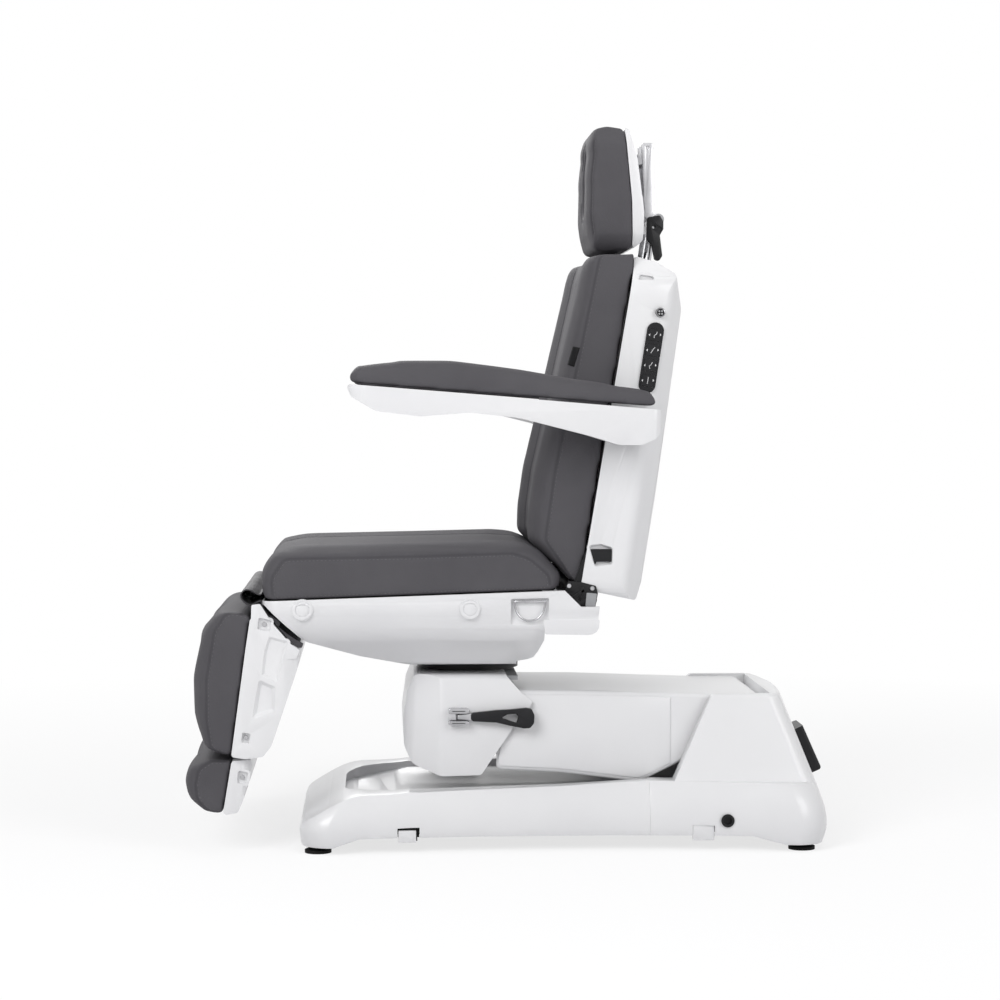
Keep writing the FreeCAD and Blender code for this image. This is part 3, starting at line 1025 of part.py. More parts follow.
def build_seat_motors():
    node("back_actuator", seat_motor("BackMotor", "back_x", "ram_z", "back_tube", "back_tube_front",
                                     "back_tube_rear",
                                     "back_tube_front", ("back_ram_root - back_lever * 5 / 4 - overrun",
                                                         "back_tube_rear + overrun")))
    yoke = horizontal_yoke((s.back_y, s.back_z), s.back_lever, s.back_half_deg, s.back_pin, s.back_play,
                           s.back_x,
                           s.yoke_half, s.back_ram_root, s.back_ram, s.ram_z)
    node("back_rod", shaped("BackRod", yoke))
    node("leg_actuator", seat_motor("LegMotor", "leg_x", leg_ram_z, "leg_tube", "leg_tube_front",
                                    "leg_tube_rear",
                                    "leg_tube_rear - gear_long", ("leg_tube_front - overrun",
                                                                  "leg_ram_root + run_gap")))
    yoke = horizontal_yoke((s.leg_y, s.leg_z), s.leg_lever, s.leg_half_deg, s.back_pin, s.back_play, s.leg_x,
                           s.yoke_half, s.leg_ram_root, s.back_ram, worth(leg_ram_z))
    node("leg_rod", shaped("LegRod", yoke))


def lever_end(pivot, reach, half_deg):
    """The pin of a lever that stands half its swing behind its pivot at rest."""
    swing = math.radians(half_deg)
    return (pivot[0] + reach * math.sin(swing), pivot[1] - reach * math.cos(swing))


# Soft pieces: side outlines lofted across the chair, drawn in at the ends
def both_ways(stations):
    """Stations from one end to the middle, and the same again to the other end."""
    return stations + [(-x_share, *others) for x_share, *others in reversed(stations[:-1])]


end_shares = both_ways([(-1, 0.84), (-0.94, 0.94), (-0.82, 0.985), (-0.6, 1), (-0.3, 1), (0, 1)])


seat_cushion_shares = [
    (0.007, 0, 0.15), (0, 0.45, 0.25), (0.052, 0.87, 0.25), (0.525, 0.94, 0.7), (0.849, 1, 0.3),
    (0.895, 0.83, 0.15), (0.953, 0.41, 0.6), (1, 0, 0.09),
]
# stations across the seat: where, and how high the top stands as a share of the cushion
seat_station_shares = both_ways([
    (-1, 0.82, 0.93), (-0.94, 0.93, 0.98), (-0.85, 0.98, 0.995), (-0.74, 1, 1), (-0.62, 0.975, 1),
    (-0.5, 0.935, 1),
    (-0.36, 0.94, 1), (-0.18, 0.955, 1), (0, 0.96, 1),
])


def crowned(shares, low, high, half, stations):
    """A cushion whose top follows a share of its thickness at each station across it."""
    wires = []
    middle = (low[0] + high[0]) / 2
    for x_share, tall_share, long_share in stations:
        corners = [(middle + (a - middle) * long_share, low[1] + (b - low[1]) * tall_share, r * tall_share)
                   for a, b, r in spread(shares, low, high)]
        wires.append(rounded(corners, at_side(x_share * half)))
    return Part.makeLoft(wires, True)


def build_seat_cushion():
    low = (s.cushion_front, s.shell_top + s.soft_gap)
    high = (s.cushion_rear, s.cushion_top)
    shape = crowned(seat_cushion_shares, low, high, s.seat_half, seat_station_shares)
    node("seat_cushion", shaped("SeatCushion", shape))


def build_rings():
    """The two folding D-rings in their side pockets."""
    for name, sign in (("left", 1), ("right", -1)):
        x = sign * (s.seat_half - s.ring_pocket / 2)
        half = s.ring_wide / 2
        top, low = s.ring_z, s.ring_z - s.ring_drop
        bend = s.ring_bend
        bite = bend * (1 - diagonal_share)
        y0, y1 = s.ring_y - half, s.ring_y + half
        def at(y, z):
            return Vector(x, y, z)
        path = Part.Wire([
            Part.LineSegment(at(y0, top), at(y0, low + bend)).toShape(),
            Part.Arc(at(y0, low + bend), at(y0 + bite, low + bite), at(y0 + bend, low)).toShape(),
            Part.LineSegment(at(y0 + bend, low), at(y1 - bend, low)).toShape(),
            Part.Arc(at(y1 - bend, low), at(y1 - bite, low + bite), at(y1, low + bend)).toShape(),
            Part.LineSegment(at(y1, low + bend), at(y1, top)).toShape(),
        ])
        ring = Part.Wire([Part.Circle(at(y0, top), Vector(0, 0, 1), s.ring_wire).toShape()])
        loop = path.makePipeShell([ring], True, True)
        axle = pin("y", (x, top), (y0 - s.ring_edge + s.run_gap, y1 + s.ring_edge - s.run_gap), s.ring_axle)
        node("d_ring_" + name, shaped("Ring" + name.title(), loop.fuse(axle)))


# Backrest
back_cushion_shares = [
    (0.375, 0.044, 0.015), (0.293, 0.062, 0.018), (0.133, 0.118, 0.039), (0, 0.175, 0.036), (0.033, 0.367,
                                                                                             0.3),
    (0.187, 0.725, 0.6), (0.307, 0.994, 0.03), (0.427, 1, 0.045), (0.6885, 0.995, 0.015), (0.396, 0.077,
                                                                                           0.015),
]
back_shell_shares = [
    (0.382, 0.035, 0.012), (0.667, 0.006, 0.015), (0.713, 0, 0.009), (0.753, 0.056, 0.045), (0.837, 0.29,
                                                                                             0.18),
    (0.983, 0.778, 0.15), (1, 0.836, 0.06), (0.957, 0.937, 0.024), (0.833, 0.973, 0.018), (0.69, 0.991,
                                                                                           0.009),
    (0.397, 0.077, 0.015),
]
# stations across the backrest: where, and how far the front stands out
back_station_shares = both_ways([
    (-1, 0.74), (-0.94, 0.9), (-0.85, 0.975), (-0.74, 1), (-0.62, 0.965), (-0.5, 0.885), (-0.36, 0.865),
    (-0.18, 0.885),
    (0, 0.895),
])


def rest_line(z):
    """The middle of the backrest's uprights at one height."""
    return s.axle_y + (z - s.axle_z) * s.rest_lean_share


def up_the_back(x, low, high, radius):
    """A cylinder along the headrest's posts, between two heights."""
    way = Vector(0, s.rest_lean_share, 1)
    start = Vector(x, s.post_y + (low - s.post_z) * s.rest_lean_share, low)
    return Part.makeCylinder(radius, way.Length * (high - low), start, way)


def build_backrest_frame():
    tube_end = "bracket_out - plate - run_gap"
    tube = rod("BackPivotTube", "x", ("back_y", "back_z"), ("run_gap + plate - bracket_out", tube_end),
               "back_root - skin / 4")
    axle = rod("ArmAxle", "x", ("axle_y", "axle_z"), ("-axle_out", "axle_out"), "axle_round")
    wall_end = "rest_half - skin - run_gap"
    axle_tube = rod("ArmAxleTube", "x", ("axle_y", "axle_z"), ("run_gap + skin - rest_half", wall_end),
                    "axle_tube")
    deep = s.upright_deep / 2
    low, high = s.upright_low, s.upright_top
    root = s.back_root - s.skin
    outline = [
        (s.back_y - s.skin, s.back_z - root, 0), (s.back_y + 2 * s.back_root, s.back_z - root / 2, s.skin),
        (s.back_y + 4 * s.back_root, s.back_z + 2 * root, s.back_root), (rest_line(low) + deep, low,
                                                                         s.back_root),
        (rest_line(high) + deep, high, 0), (rest_line(high) - deep, high, 0), (rest_line(low) - deep, low,
                                                                               s.back_root),
        (s.rest_front + s.upright_deep, s.back_z + 2 * s.back_root, s.back_root),
        (s.rest_front + s.skin, s.back_z + root, s.skin), (s.back_y, s.back_z + root, 0),
    ]
    ear = [
        (s.back_y - root, s.back_z - s.skin, s.skin), (s.back_y, s.back_z - root, s.skin),
        (s.barrel_y, s.barrel_z - s.barrel_round, s.skin), (s.barrel_y + s.barrel_round,
                                                            s.barrel_z + s.skin, s.skin),
        (s.rest_front - s.skin / 2, s.back_z + s.skin, s.skin),
        (s.rest_front - s.skin / 2, s.back_z + root + s.skin, s.skin),
        (s.rest_front + s.upright_deep + deep, low, s.skin), (s.rest_front + s.skin, low, s.skin),
        (s.back_y - s.skin, s.back_z + root, s.skin),
    ]
    solids = []
    for sign in (-1, 1):
        solids.append(side_prism(outline, *span_x(sign, s.upright_out - s.upright_wide, s.upright_out)))
        solids.append(side_prism(ear, *span_x(sign, s.ear_x, s.ear_x + s.plate)))
        barrel = span_x(sign, s.bracket_out + s.run_gap, s.ear_x + s.plate + s.skin)
        solids.append(pin("x", (s.barrel_y, s.barrel_z), barrel, s.barrel_round))
        solids.append(block(*span_x(sign, s.upright_out, s.ear_x + s.plate), s.rest_front + deep,
                            rest_line(low) - deep + s.skin, low - s.upright_deep, low))
        solids.append(up_the_back(sign * s.post_x, s.guide_low_z, s.guide_high_z, s.guide_round))
    top = (s.guide_low_z + s.guide_high_z) / 2
    inner = s.upright_out - s.upright_wide
    solids.append(block(-inner, inner, rest_line(top) - deep, rest_line(top) + deep, top - deep, top + deep))
    end = lever_end((s.back_y, s.back_z), s.back_lever, s.back_half_deg)
    solids.append(twin_lever((s.back_y, s.back_z), end, s.back_root - s.skin / 2, s.back_pin + s.skin,
                             s.back_x,
                             s.yoke_half, s.back_pin))
    arms = shaped("RestUprights", solids[0].multiFuse(solids[1:]))
    posts = [up_the_back(sign * s.post_x, s.guide_low_z - s.overrun, s.guide_high_z + s.overrun,
                         s.post_round + s.run_gap)
             for sign in (-1, 1)]
    post_bores = shaped("PostBores", posts[0].fuse(posts[1]))
    shaft = rod("BackPivotBore", "x", ("back_y", "back_z"), ("-rest_half", "rest_half"),
                "back_shaft + run_gap")
    solid = fuse("RestSolid", tube, axle, axle_tube, arms)
    node("backrest_frame", cut("RestFrame", solid, shaft, post_bores))


def rest_corners(shares):
    return spread(shares, (s.pad_front, s.rest_low), (s.rest_rear, s.pad_high))


def back_shell_form(inset):
    half, rear_half = s.rest_half - inset, s.rest_back_half - inset
    front, rear = s.rest_front_y, s.rest_rear_y - inset
    tall = s.pad_high - s.rest_low
    turn = s.rest_shoulder / 3
    plan = [(-half, front, 0), (half, front, 0), (half, s.rest_flat_y, turn), (rear_half, rear, turn),
            (-rear_half, rear, turn), (-half, s.rest_flat_y, turn)]
    way = Vector(0, s.rest_lean_share, 1)
    trunk = prism(rounded(plan, at_level(s.rest_low - s.overrun)), way * (tall + 2 * s.overrun))
    low = s.rest_low - s.overrun + inset
    view = [(-half, low, s.rest_shoulder / 2), (half, low, s.rest_shoulder / 2),
            (half, s.pad_high - inset, s.rest_shoulder), (-half, s.pad_high - inset, s.rest_shoulder)]
    front_view = front_prism(view, s.pad_front - s.overrun, s.rest_rear + s.overrun)
    side = side_prism(rest_corners(back_shell_shares), -s.rest_half, s.rest_half, inset)
    if inset:
        side = opened(side, (0, -3 * inset, 0))
    return side.common(trunk).common(front_view)


def leaned(piece, y, z):
    """A side piece drawn round zero, leaned like the backrest and moved to (y, z)."""
    piece.rotate(Vector(), Vector(1, 0, 0), -math.degrees(math.atan(s.rest_lean_share)))
    piece.translate(Vector(0, y, z))
    return piece


def pill(wide, tall, turn, x0, x1):
    half, up = wide / 2, tall / 2
    return side_prism([(-half, -up, turn), (half, -up, turn), (half, up, turn), (-half, up, turn)], x0, x1)


def key_places():
    """The four rockers' middles, spaced along the keypad."""
    lean = math.atan(s.rest_lean_share)
    names = ("tilt", "leg", "back", "height")
    for index, name in enumerate(names):
        up = (index - (len(names) - 1) / 2) * s.key_step
        yield name, s.keypad_y + up * math.sin(lean), s.keypad_z + up * math.cos(lean)


def build_backrest_skin():
    shell = back_shell_form(0).cut(back_shell_form(s.skin))
    through = (-s.rest_half - s.overrun, s.rest_half + s.overrun)
    shell = shell.cut(pin("x", (s.axle_y, s.axle_z), through, s.axle_round + s.run_gap))
    for sign in (-1, 1):
        wide = span_x(sign, s.upright_out - s.upright_wide - s.skin, s.upright_out + s.skin)
        shell = shell.cut(block(*wide, s.pad_front, s.back_y + 4 * s.back_root, s.rest_low - s.overrun,
                                s.back_z + 2 * s.back_root))
        shell = shell.cut(up_the_back(sign * s.post_x, s.guide_high_z - s.guide_round, s.clamp_low,
                                      s.post_round + 3 * s.run_gap))
    bore = (s.rest_half - s.skin - s.overrun, s.rest_half + s.overrun)
    shell = shell.cut(pin("x", (s.button_y, s.button_z), bore, s.button_round - s.socket_rim + s.run_gap))
    node("backrest_shell", shaped("RestShell", max(shell.Solids, key=lambda solid: solid.Volume)))

    corners = rest_corners(back_cushion_shares)
    node("backrest_cushion", shaped("RestCushion", front_pad(corners, s.pad_half, back_station_shares, -2,
                                                             -1)))

    x = s.rest_half + s.run_gap / 3
    top = x + s.keypad_thick + s.key_proud
    panel = leaned(pill(s.keypad_wide, s.keypad_long, s.keypad_wide / 2, x, x + s.keypad_thick),
                   s.keypad_y, s.keypad_z)
    grow = 3 * s.run_gap
    for name, y, z in key_places():
        window = pill(s.key_wide + grow, s.key_tall + grow, s.key_thick / 2, x - s.overrun, top + s.overrun)
        panel = panel.cut(leaned(window, y, z))
        key = pill(s.key_wide, s.key_tall, s.key_thick / 2, top - s.key_thick, top)
        node("keypad_rocker_" + name, shaped("Key" + name.title(), leaned(key, y, z)))
    node("keypad_panel", shaped("KeypadPanel", panel))
    out = s.rest_half + s.button_proud
    head = pin("x", (s.button_y, s.button_z), (out - s.button_thick / 2, out + s.button_thick / 2),
               s.button_round)
    stem = pin("x", (s.button_y, s.button_z), (s.rest_half - s.button_thick, out),
               s.button_round - s.socket_rim)
    node("round_button", shaped("RoundButton", head.fuse(stem)))


# Headrest
neck_pad_shares = [
    (0.282, 0.008, 0.056), (0.081, 0.02, 0.088), (0, 0.277, 0.24), (0.016, 0.59, 0.32), (0.129, 0.863, 0.2),
    (0.242, 0.976, 0.1), (0.452, 1, 0.064), (0.766, 0.98, 0.024), (0.855, 0.414, 0.8), (0.855, 0.028, 0.032),
]
neck_shell_shares = [
    (0.863, 0.024, 0.016), (0.984, 0.092, 0.064), (1, 0.313, 0.24), (0.935, 0.735, 0.24), (0.839, 0.968,
                                                                                           0.04),
    (0.774, 0.98, 0.016), (0.863, 0.414, 0.8),
]


def face_opening(grow):
    """The oval opening for the face, right through the headrest."""
    tall, wide = s.face_high / 2 + grow, s.face_wide / 2 + grow
    oval = [(-wide, s.face_z - tall, wide), (wide, s.face_z - tall, wide), (wide, s.face_z + tall, wide),
            (-wide, s.face_z + tall, wide)]
    return front_prism(oval, s.neck_front - s.overrun, s.neck_shell_rear + s.overrun)


def build_headrest():
    low, high = (s.neck_front, s.neck_low), (s.neck_shell_rear, s.neck_high)
    corners = spread(neck_pad_shares, low, high)
    half = s.neck_pad_half
    rear = max(corner[0] for corner in corners)
    middle = (s.neck_low + s.neck_high) / 2
    wires = []
    for x_share, size_share in end_shares:
        drawn = [(rear + (a - rear) * size_share, middle + (b - middle) * size_share, r * size_share)
                 for a, b, r in corners]
        wires.append(rounded(drawn, at_side(x_share * half)))
    turn, wide = s.neck_round, half + s.overrun
    view = [(-wide, s.neck_low - s.overrun, turn), (wide, s.neck_low - s.overrun, turn),
            (wide, s.neck_high + s.overrun, turn), (-wide, s.neck_high + s.overrun, turn)]
    frame = front_prism(view, s.neck_front - turn, s.neck_shell_rear + s.overrun)
    pad = Part.makeLoft(wires, True).common(frame).cut(face_opening(0))
    node("headrest_pad", shaped("HeadPad", pad))
    shell_side = side_prism(spread(neck_shell_shares, low, high), -half, half)
    node("headrest_shell", shaped("HeadShell", shell_side.common(frame).cut(face_opening(s.skin))))

    knuckle = (s.knuckle_y, s.knuckle_z)
    pieces = [block(-s.clamp_half, s.clamp_half, s.clamp_front, s.clamp_rear, s.clamp_low, s.clamp_high)]
    for sign in (-1, 1):
        pieces.append(up_the_back(sign * s.post_x, s.post_low_z, s.clamp_low + s.skin, s.post_round))
        for ear_out in (s.bar_x - s.run_gap, s.clamp_half):
            ear = span_x(sign, ear_out - s.plate, ear_out)
            foot = (s.knuckle_y - s.knuckle_round, s.clamp_low + s.knuckle_round)
            pieces.append(lever(knuckle, foot, s.knuckle_round, s.knuckle_round, *ear))
    carriage = pieces[0].multiFuse(pieces[1:])
    floor = s.knuckle_z - s.knuckle_round - s.run_gap
    y0, y1, z1 = s.clamp_front - s.overrun, s.clamp_rear + s.overrun, s.clamp_high + s.overrun
    for sign in (-1, 1):
        gap = span_x(sign, s.bar_x - s.run_gap, s.bar_x + s.plate + s.run_gap)
        carriage = carriage.cut(block(*gap, y0, y1, floor, z1))
    out = s.clamp_half + s.clamp_lever_thick + 2 * s.run_gap
    bolt = pin("x", knuckle, (-s.clamp_half, out), s.knuckle_pin)
    node("headrest_posts", shaped("HeadPosts", carriage.fuse(bolt)))

    bars = []
    for sign in (-1, 1):
        wide = span_x(sign, s.bar_x, s.bar_x + s.plate)
        bars.append(lever(knuckle, (s.bar_y, s.bar_top), s.knuckle_round, s.knuckle_round, *wide))
        for up_share in bar_pad_shares:
            z = s.knuckle_z + (s.bar_top - s.knuckle_z) * up_share
            y = s.knuckle_y + (s.bar_y - s.knuckle_y) * up_share
            bars.append(block(*wide, s.neck_shell_rear - 3 * s.plate, y, z - s.knuckle_round,
                              z + s.knuckle_round))
    bracket = bars[0].multiFuse(bars[1:])
    bracket = bracket.cut(side_prism(spread(neck_shell_shares, low, high), -half, half))
    bracket = bracket.cut(block(-half, half, s.neck_front, s.neck_shell_rear - 2 * s.plate, s.neck_low,
                                s.neck_high))
    bracket = bracket.cut(pin("x", knuckle, (-out, out), s.knuckle_pin + s.run_gap))
    node("headrest_bracket", shaped("HeadBars", bracket))
    x0 = s.clamp_half + s.run_gap
    tip = (s.knuckle_y + s.skin, s.knuckle_z - s.clamp_lever)
    grip = lever(knuckle, tip, s.clamp_lever_round, s.clamp_lever_round - s.skin / 2, x0,
                 x0 + s.clamp_lever_thick)
    grip = grip.cut(pin("x", knuckle, (0, out + s.overrun), s.knuckle_pin + s.run_gap))
    node("headrest_lever", shaped("HeadLever", grip))


# where the bars meet the headrest, as shares of their length
bar_pad_shares = (0.28, 0.88)

# Armrests
arm_shell_shares = [
    (0, 0.72, 0.038), (0.019, 0.567, 0.09), (0.094, 0.401, 0.25), (0.235, 0.338, 0.38), (0.392, 0.382, 0.57),
    (0.549, 0.318, 1.3), (0.768, 0.108, 0.76), (0.862, 0, 0.38), (0.932, 0, 0.19), (0.983, 0.083, 0.15),
    (1, 0.223, 0.09), (0.998, 0.414, 0.038),
]
arm_pad_shares = [
    (0, 0.726, 0.032), (0.049, 0.898, 0.14), (0.172, 1, 0.38), (0.332, 1, 1.3), (0.554, 0.885, 1.9),
    (0.799, 0.713, 1.3), (0.949, 0.554, 0.1), (0.997, 0.424, 0.038),
]
arm_station_shares = both_ways([(-1, 0.42), (-0.88, 0.72), (-0.65, 0.9), (-0.33, 0.98), (0, 1)])


def build_armrests():
    low, high = (s.arm_rest_front, s.arm_shell_low), (s.arm_rest_rear, s.arm_pad_top)
    middle, half = (s.arm_in + s.arm_out) / 2, (s.arm_out - s.arm_in) / 2
    corners = spread(arm_shell_shares, low, high)
    nose = s.arm_nose
    plan = [(s.arm_in, s.arm_rest_front, nose), (s.arm_out, s.arm_rest_front, nose),
            (s.arm_out, s.arm_rest_rear, nose / 2), (s.arm_in, s.arm_rest_rear, nose / 2)]
    outer = side_prism(corners, s.arm_in, s.arm_out).common(level_prism(plan, s.arm_shell_low, s.arm_pad_top))
    inner = side_prism(corners, s.arm_in + s.skin, s.arm_out - s.skin, s.skin)
    inner = inner.common(level_prism(plan, s.arm_shell_low, s.arm_pad_top, s.skin))
    inner = opened(inner, (0, 0, 3 * s.skin))
    hub = pin("x", (s.axle_y, s.axle_z), (s.arm_in, s.axle_out + s.skin), s.arm_hub)
    bore = pin("x", (s.axle_y, s.axle_z), (s.rest_half, s.axle_out + s.run_gap), s.axle_round + s.run_gap)
    shell = outer.cut(inner).fuse(hub.common(outer)).cut(bore)
    shell = max(shell.Solids, key=lambda solid: solid.Volume)
    pad_corners = spread(arm_pad_shares, low, high)
    first, last = pad_corners[0], pad_corners[-1]

    def seam(y):
        return first[1] + (y - first[0]) / (last[0] - first[0]) * (last[1] - first[1])
    wires = []
    for x_share, tall_share in arm_station_shares:
        drawn = [(a, seam(a) + (b - seam(a)) * tall_share, r * tall_share) for a, b, r in pad_corners]
        wires.append(rounded(drawn, at_side(middle + x_share * half)))
    pad = Part.makeLoft(wires, True).common(level_prism(plan, s.arm_shell_low, s.arm_pad_top + s.overrun))
    for side, sign in (("left", 1), ("right", -1)):
        for label, shape in (("armrest_shell_", shell), ("armrest_pad_", pad)):
            own = shape.copy() if sign > 0 else shape.mirror(Vector(), Vector(1, 0, 0))
            node(label + side, shaped(label.title().replace("_", "") + side.title(), own))


# Leg section
leg_pad_shares = [
    (0.4625, 0.971, 0.029), (0.247, 1, 0.079), (0.093, 0.854, 0.21), (0, 0.539, 0.43), (0.005, 0.268, 0.29),
    (0.072, 0.05, 0.093), (0.258, 0.021, 0.05), (0.3025, 0.029, 0.014), (0.4215, 0.739, 0.71),
]
leg_shell_shares = [
    (0.464, 0.964, 0.021), (1, 0.736, 0.05), (0.969, 0.596, 0.21), (0.722, 0.089, 0.11), (0.639, 0.014,
                                                                                          0.043),
    (0.464, 0, 0.071), (0.304, 0.014, 0.021), (0.423, 0.739, 0.71),
]
# stations across the leg and foot pads: where, and how far the front stands out
leg_station_shares = both_ways([
    (-1, 0.74), (-0.94, 0.9), (-0.85, 0.97), (-0.72, 1), (-0.54, 1), (-0.34, 0.985), (-0.16, 0.955),
    (0, 0.935),
])


def leg_line(z):
    return s.leg_line_y + (z - s.leg_line_z) * s.leg_lean_share


def leg_bar(half, x, low, high):
    """A square bar along the leg, between two heights."""
    corners = [(leg_line(low) - half, low, 0), (leg_line(low) + half, low, 0), (leg_line(high) + half,
                                                                                high, 0),
               (leg_line(high) - half, high, 0)]
    return side_prism(corners, x - half, x + half)


def front_pad(corners, half, stations, high_mark, low_mark):
    """A pad whose front stands out from its seam by a share at each station across it."""
    top, bottom = corners[high_mark], corners[low_mark]

    def seam(z):
        return bottom[0] + (z - bottom[1]) * (top[0] - bottom[0]) / (top[1] - bottom[1])
    wires = []
    for x_share, out_share in stations:
        drawn = [(seam(b) + (a - seam(b)) * out_share, b, r * out_share) for a, b, r in corners]
        wires.append(rounded(drawn, at_side(x_share * half)))
    return Part.makeLoft(wires, True)


def tray_form(corners, half, plan_rear, turn, inset):
    """The outside or the drawn-in inside of a shell that is open to the front."""
    side = side_prism(corners, -half, half, inset)
    if inset:
        side = opened(side, (0, -3 * inset, 0))
    front = min(corner[0] for corner in corners) - s.overrun - 3 * s.skin
    low, high = min(corner[1] for corner in corners), max(corner[1] for corner in corners)
    plan = [(-half, front, 0), (half, front, 0), (half, plan_rear, turn), (-half, plan_rear, turn)]
    return side.common(level_prism(plan, low, high, inset))


def build_leg():
    low, high = (s.leg_front, s.leg_low), (s.leg_rear, s.leg_high)
    corners = spread(leg_shell_shares, low, high)
    half, turn = s.leg_half, s.seat_corner
    hollow = tray_form(corners, half, s.leg_rear + turn, 2 * turn, s.skin)
    shell = tray_form(corners, half, s.leg_rear + turn, 2 * turn, 0).cut(hollow)
    room = s.back_ram + s.plate + 2 * s.swing_gap
    floor, roof = s.leg_cross_z - turn / 2, s.leg_high + s.overrun
    shell = shell.cut(block(s.leg_x - room, s.leg_x + room, s.leg_y - turn, s.leg_rear + s.overrun, floor,
                            roof))
    for sign in (-1, 1):
        wide = span_x(sign, s.leg_arm_x - s.skin, s.leg_ear_x + s.plate + s.skin)
        shell = shell.cut(block(*wide, s.leg_y - turn, s.leg_y + turn, floor, roof))
        shell = shell.cut(leg_bar(s.foot_rail_half + s.skin / 2, sign * s.leg_rail_x, s.foot_rail_low,
                                  s.leg_frame_low))
    node("leg_shell", shaped("LegShell", max(shell.Solids, key=lambda solid: solid.Volume)))
    pad = front_pad(spread(leg_pad_shares, low, high), half - s.skin, leg_station_shares, 0, -2)
    node("leg_cushion", shaped("LegCushion", pad))

    pieces = []
    hinge = (s.leg_y, s.leg_z)
    tube = s.leg_tube_half
    inner_end = s.leg_ear_x - 2 * s.plate + s.run_gap
    outer_end = s.leg_ear_x - s.run_gap
    for sign in (-1, 1):
        pieces.append(leg_bar(tube, sign * s.leg_rail_x, s.leg_frame_low, s.leg_frame_high))
        pieces.append(lever(hinge, (leg_line(s.leg_cross_z), s.leg_cross_z), s.leg_root, tube,
                            *span_x(sign, inner_end, outer_end)))
    for z, reach, rear in ((s.leg_cross_z, outer_end, leg_line(s.leg_cross_z) + tube),
                           (s.leg_frame_low + tube, s.leg_rail_x, s.leg_rear)):
        tie = block(-reach, reach, leg_line(z) - tube, rear, z - tube, z + tube)
        pieces.append(tie.common(hollow))
    end = lever_end(hinge, s.leg_lever, s.leg_half_deg)
    pieces.append(twin_lever(hinge, end, s.leg_root, s.back_pin + s.skin, s.leg_x, s.yoke_half, s.back_pin))
    drop = [(leg_line(s.leg_cross_z) - tube, s.leg_cross_z), (leg_line(s.leg_cross_z) + tube, s.leg_cross_z)]
    for place in drop:
        pieces.append(lever(hinge, place, s.leg_root, s.leg_root - s.skin, s.leg_x + s.yoke_half + s.run_gap,
                            s.leg_x + s.yoke_half + s.run_gap + s.plate))
    frame = pieces[0].multiFuse(pieces[1:])
    for sign in (-1, 1):
        frame = frame.cut(leg_bar(s.foot_rail_half + s.run_gap, sign * s.leg_rail_x,
                                  s.leg_frame_low - s.overrun,
                                  s.leg_frame_high + s.overrun))
        frame = frame.cut(pin("x", hinge, span_x(sign, inner_end - s.overrun, outer_end + s.overrun),
                              s.leg_shaft + s.run_gap))
    node("leg_frame", shaped("LegFrame", frame))


foot_pad_shares = [
    (0.6665, 0.991, 0.038), (0.298, 1, 0.13), (0.05, 0.84, 0.21), (0, 0.557, 0.28), (0.058, 0.264, 0.28),
    (0.281, 0.057, 0.19), (0.5675, 0.019, 0.075),
]
foot_shell_shares = [
    (0.669, 0.981, 0.057), (1, 1, 0.075), (0.86, 0.292, 0.28), (0.777, 0.057, 0.075), (0.57, 0.009, 0.057),
]


def build_foot():
    low, high = (s.sole_front, s.sole_low), (s.sole_rear, s.sole_high)
    corners = spread(foot_shell_shares, low, high)
    half, turn = s.foot_half, s.seat_corner
    hollow = tray_form(corners, half, s.sole_rear, turn, s.skin)
    shell = tray_form(corners, half, s.sole_rear, turn, 0).cut(hollow)
    rails = []
    for sign in (-1, 1):
        x = sign * s.leg_rail_x
        shell = shell.cut(leg_bar(s.foot_rail_half + s.run_gap, x, s.sole_high - turn, s.leg_low))
        rails.append(leg_bar(s.foot_rail_half, x, s.foot_rail_low, s.foot_rail_top))
    node("foot_shell", shaped("FootShell", max(shell.Solids, key=lambda solid: solid.Volume)))
    z = s.foot_rail_low + s.foot_rail_half
    tie = block(-s.leg_rail_x, s.leg_rail_x, leg_line(z) - s.foot_rail_half, s.sole_rear,
                z - s.foot_rail_half,
                z + s.foot_rail_half)
    rails.append(tie.common(hollow))
    node("foot_rails", shaped("FootRails", rails[0].multiFuse(rails[1:])))
    pad = front_pad(spread(foot_pad_shares, low, high), half - s.skin, leg_station_shares, 0, -1)
    node("foot_cushion", shaped("FootCushion", pad))


def build_flap():
    """The leatherette strip that closes the gap at the knee."""
    x = -s.flap_half
    start = Vector(x, s.cushion_front + s.soft_gap / 2, s.shell_top + 2 * s.leg_root)
    middle = Vector(x, s.leg_y - s.seat_corner + s.flap_thick, s.leg_z + 2 * s.leg_root)
    end = Vector(x, s.leg_y - s.seat_corner - 2 * s.swing_gap, s.leg_high - s.swing_gap + s.soft_gap)
    thick = Vector(0, -s.flap_thick, s.flap_thick / 2)
    inner = Part.Arc(start, middle, end).toShape()
    outer = Part.Arc(end + thick, middle + thick, start + thick).toShape()
    sides = [Part.LineSegment(end, end + thick).toShape(), Part.LineSegment(start + thick, start).toShape()]
    strip = prism(Part.Wire([inner, sides[0], outer, sides[1]]), Vector(2 * s.flap_half, 0, 0))
    node("knee_flap", shaped("KneeFlap", strip))


for build in (build_covers, build_inlet, build_socket, build_base_frame, build_feet, build_lift_motor,
              build_lift_arm,
              build_head, build_lock, build_turntable, build_seat_frame, build_seat_shell, build_seat_motors,
              build_seat_cushion, build_rings, build_backrest_frame, build_backrest_skin, build_headrest,
              build_armrests, build_leg, build_foot, build_flap):
    build()

doc.recompute()
for thing in doc.Objects:
    if "Invalid" in thing.State or "Error" in thing.State:
        raise RuntimeError("%s failed: %s" % (thing.Name, thing.State))
os.makedirs("parts", exist_ok=True)
for piece in nodes:
    if piece.Shape.isNull() or not piece.Shape.isValid():
        raise RuntimeError(piece.Label + " has no valid shape")
    piece.Shape.exportStep("parts/%s.step" % piece.Label)
    print("%-26s %2d solids %9.1f cm3" % (piece.Label, len(piece.Shape.Solids), piece.Shape.Volume / 1000))
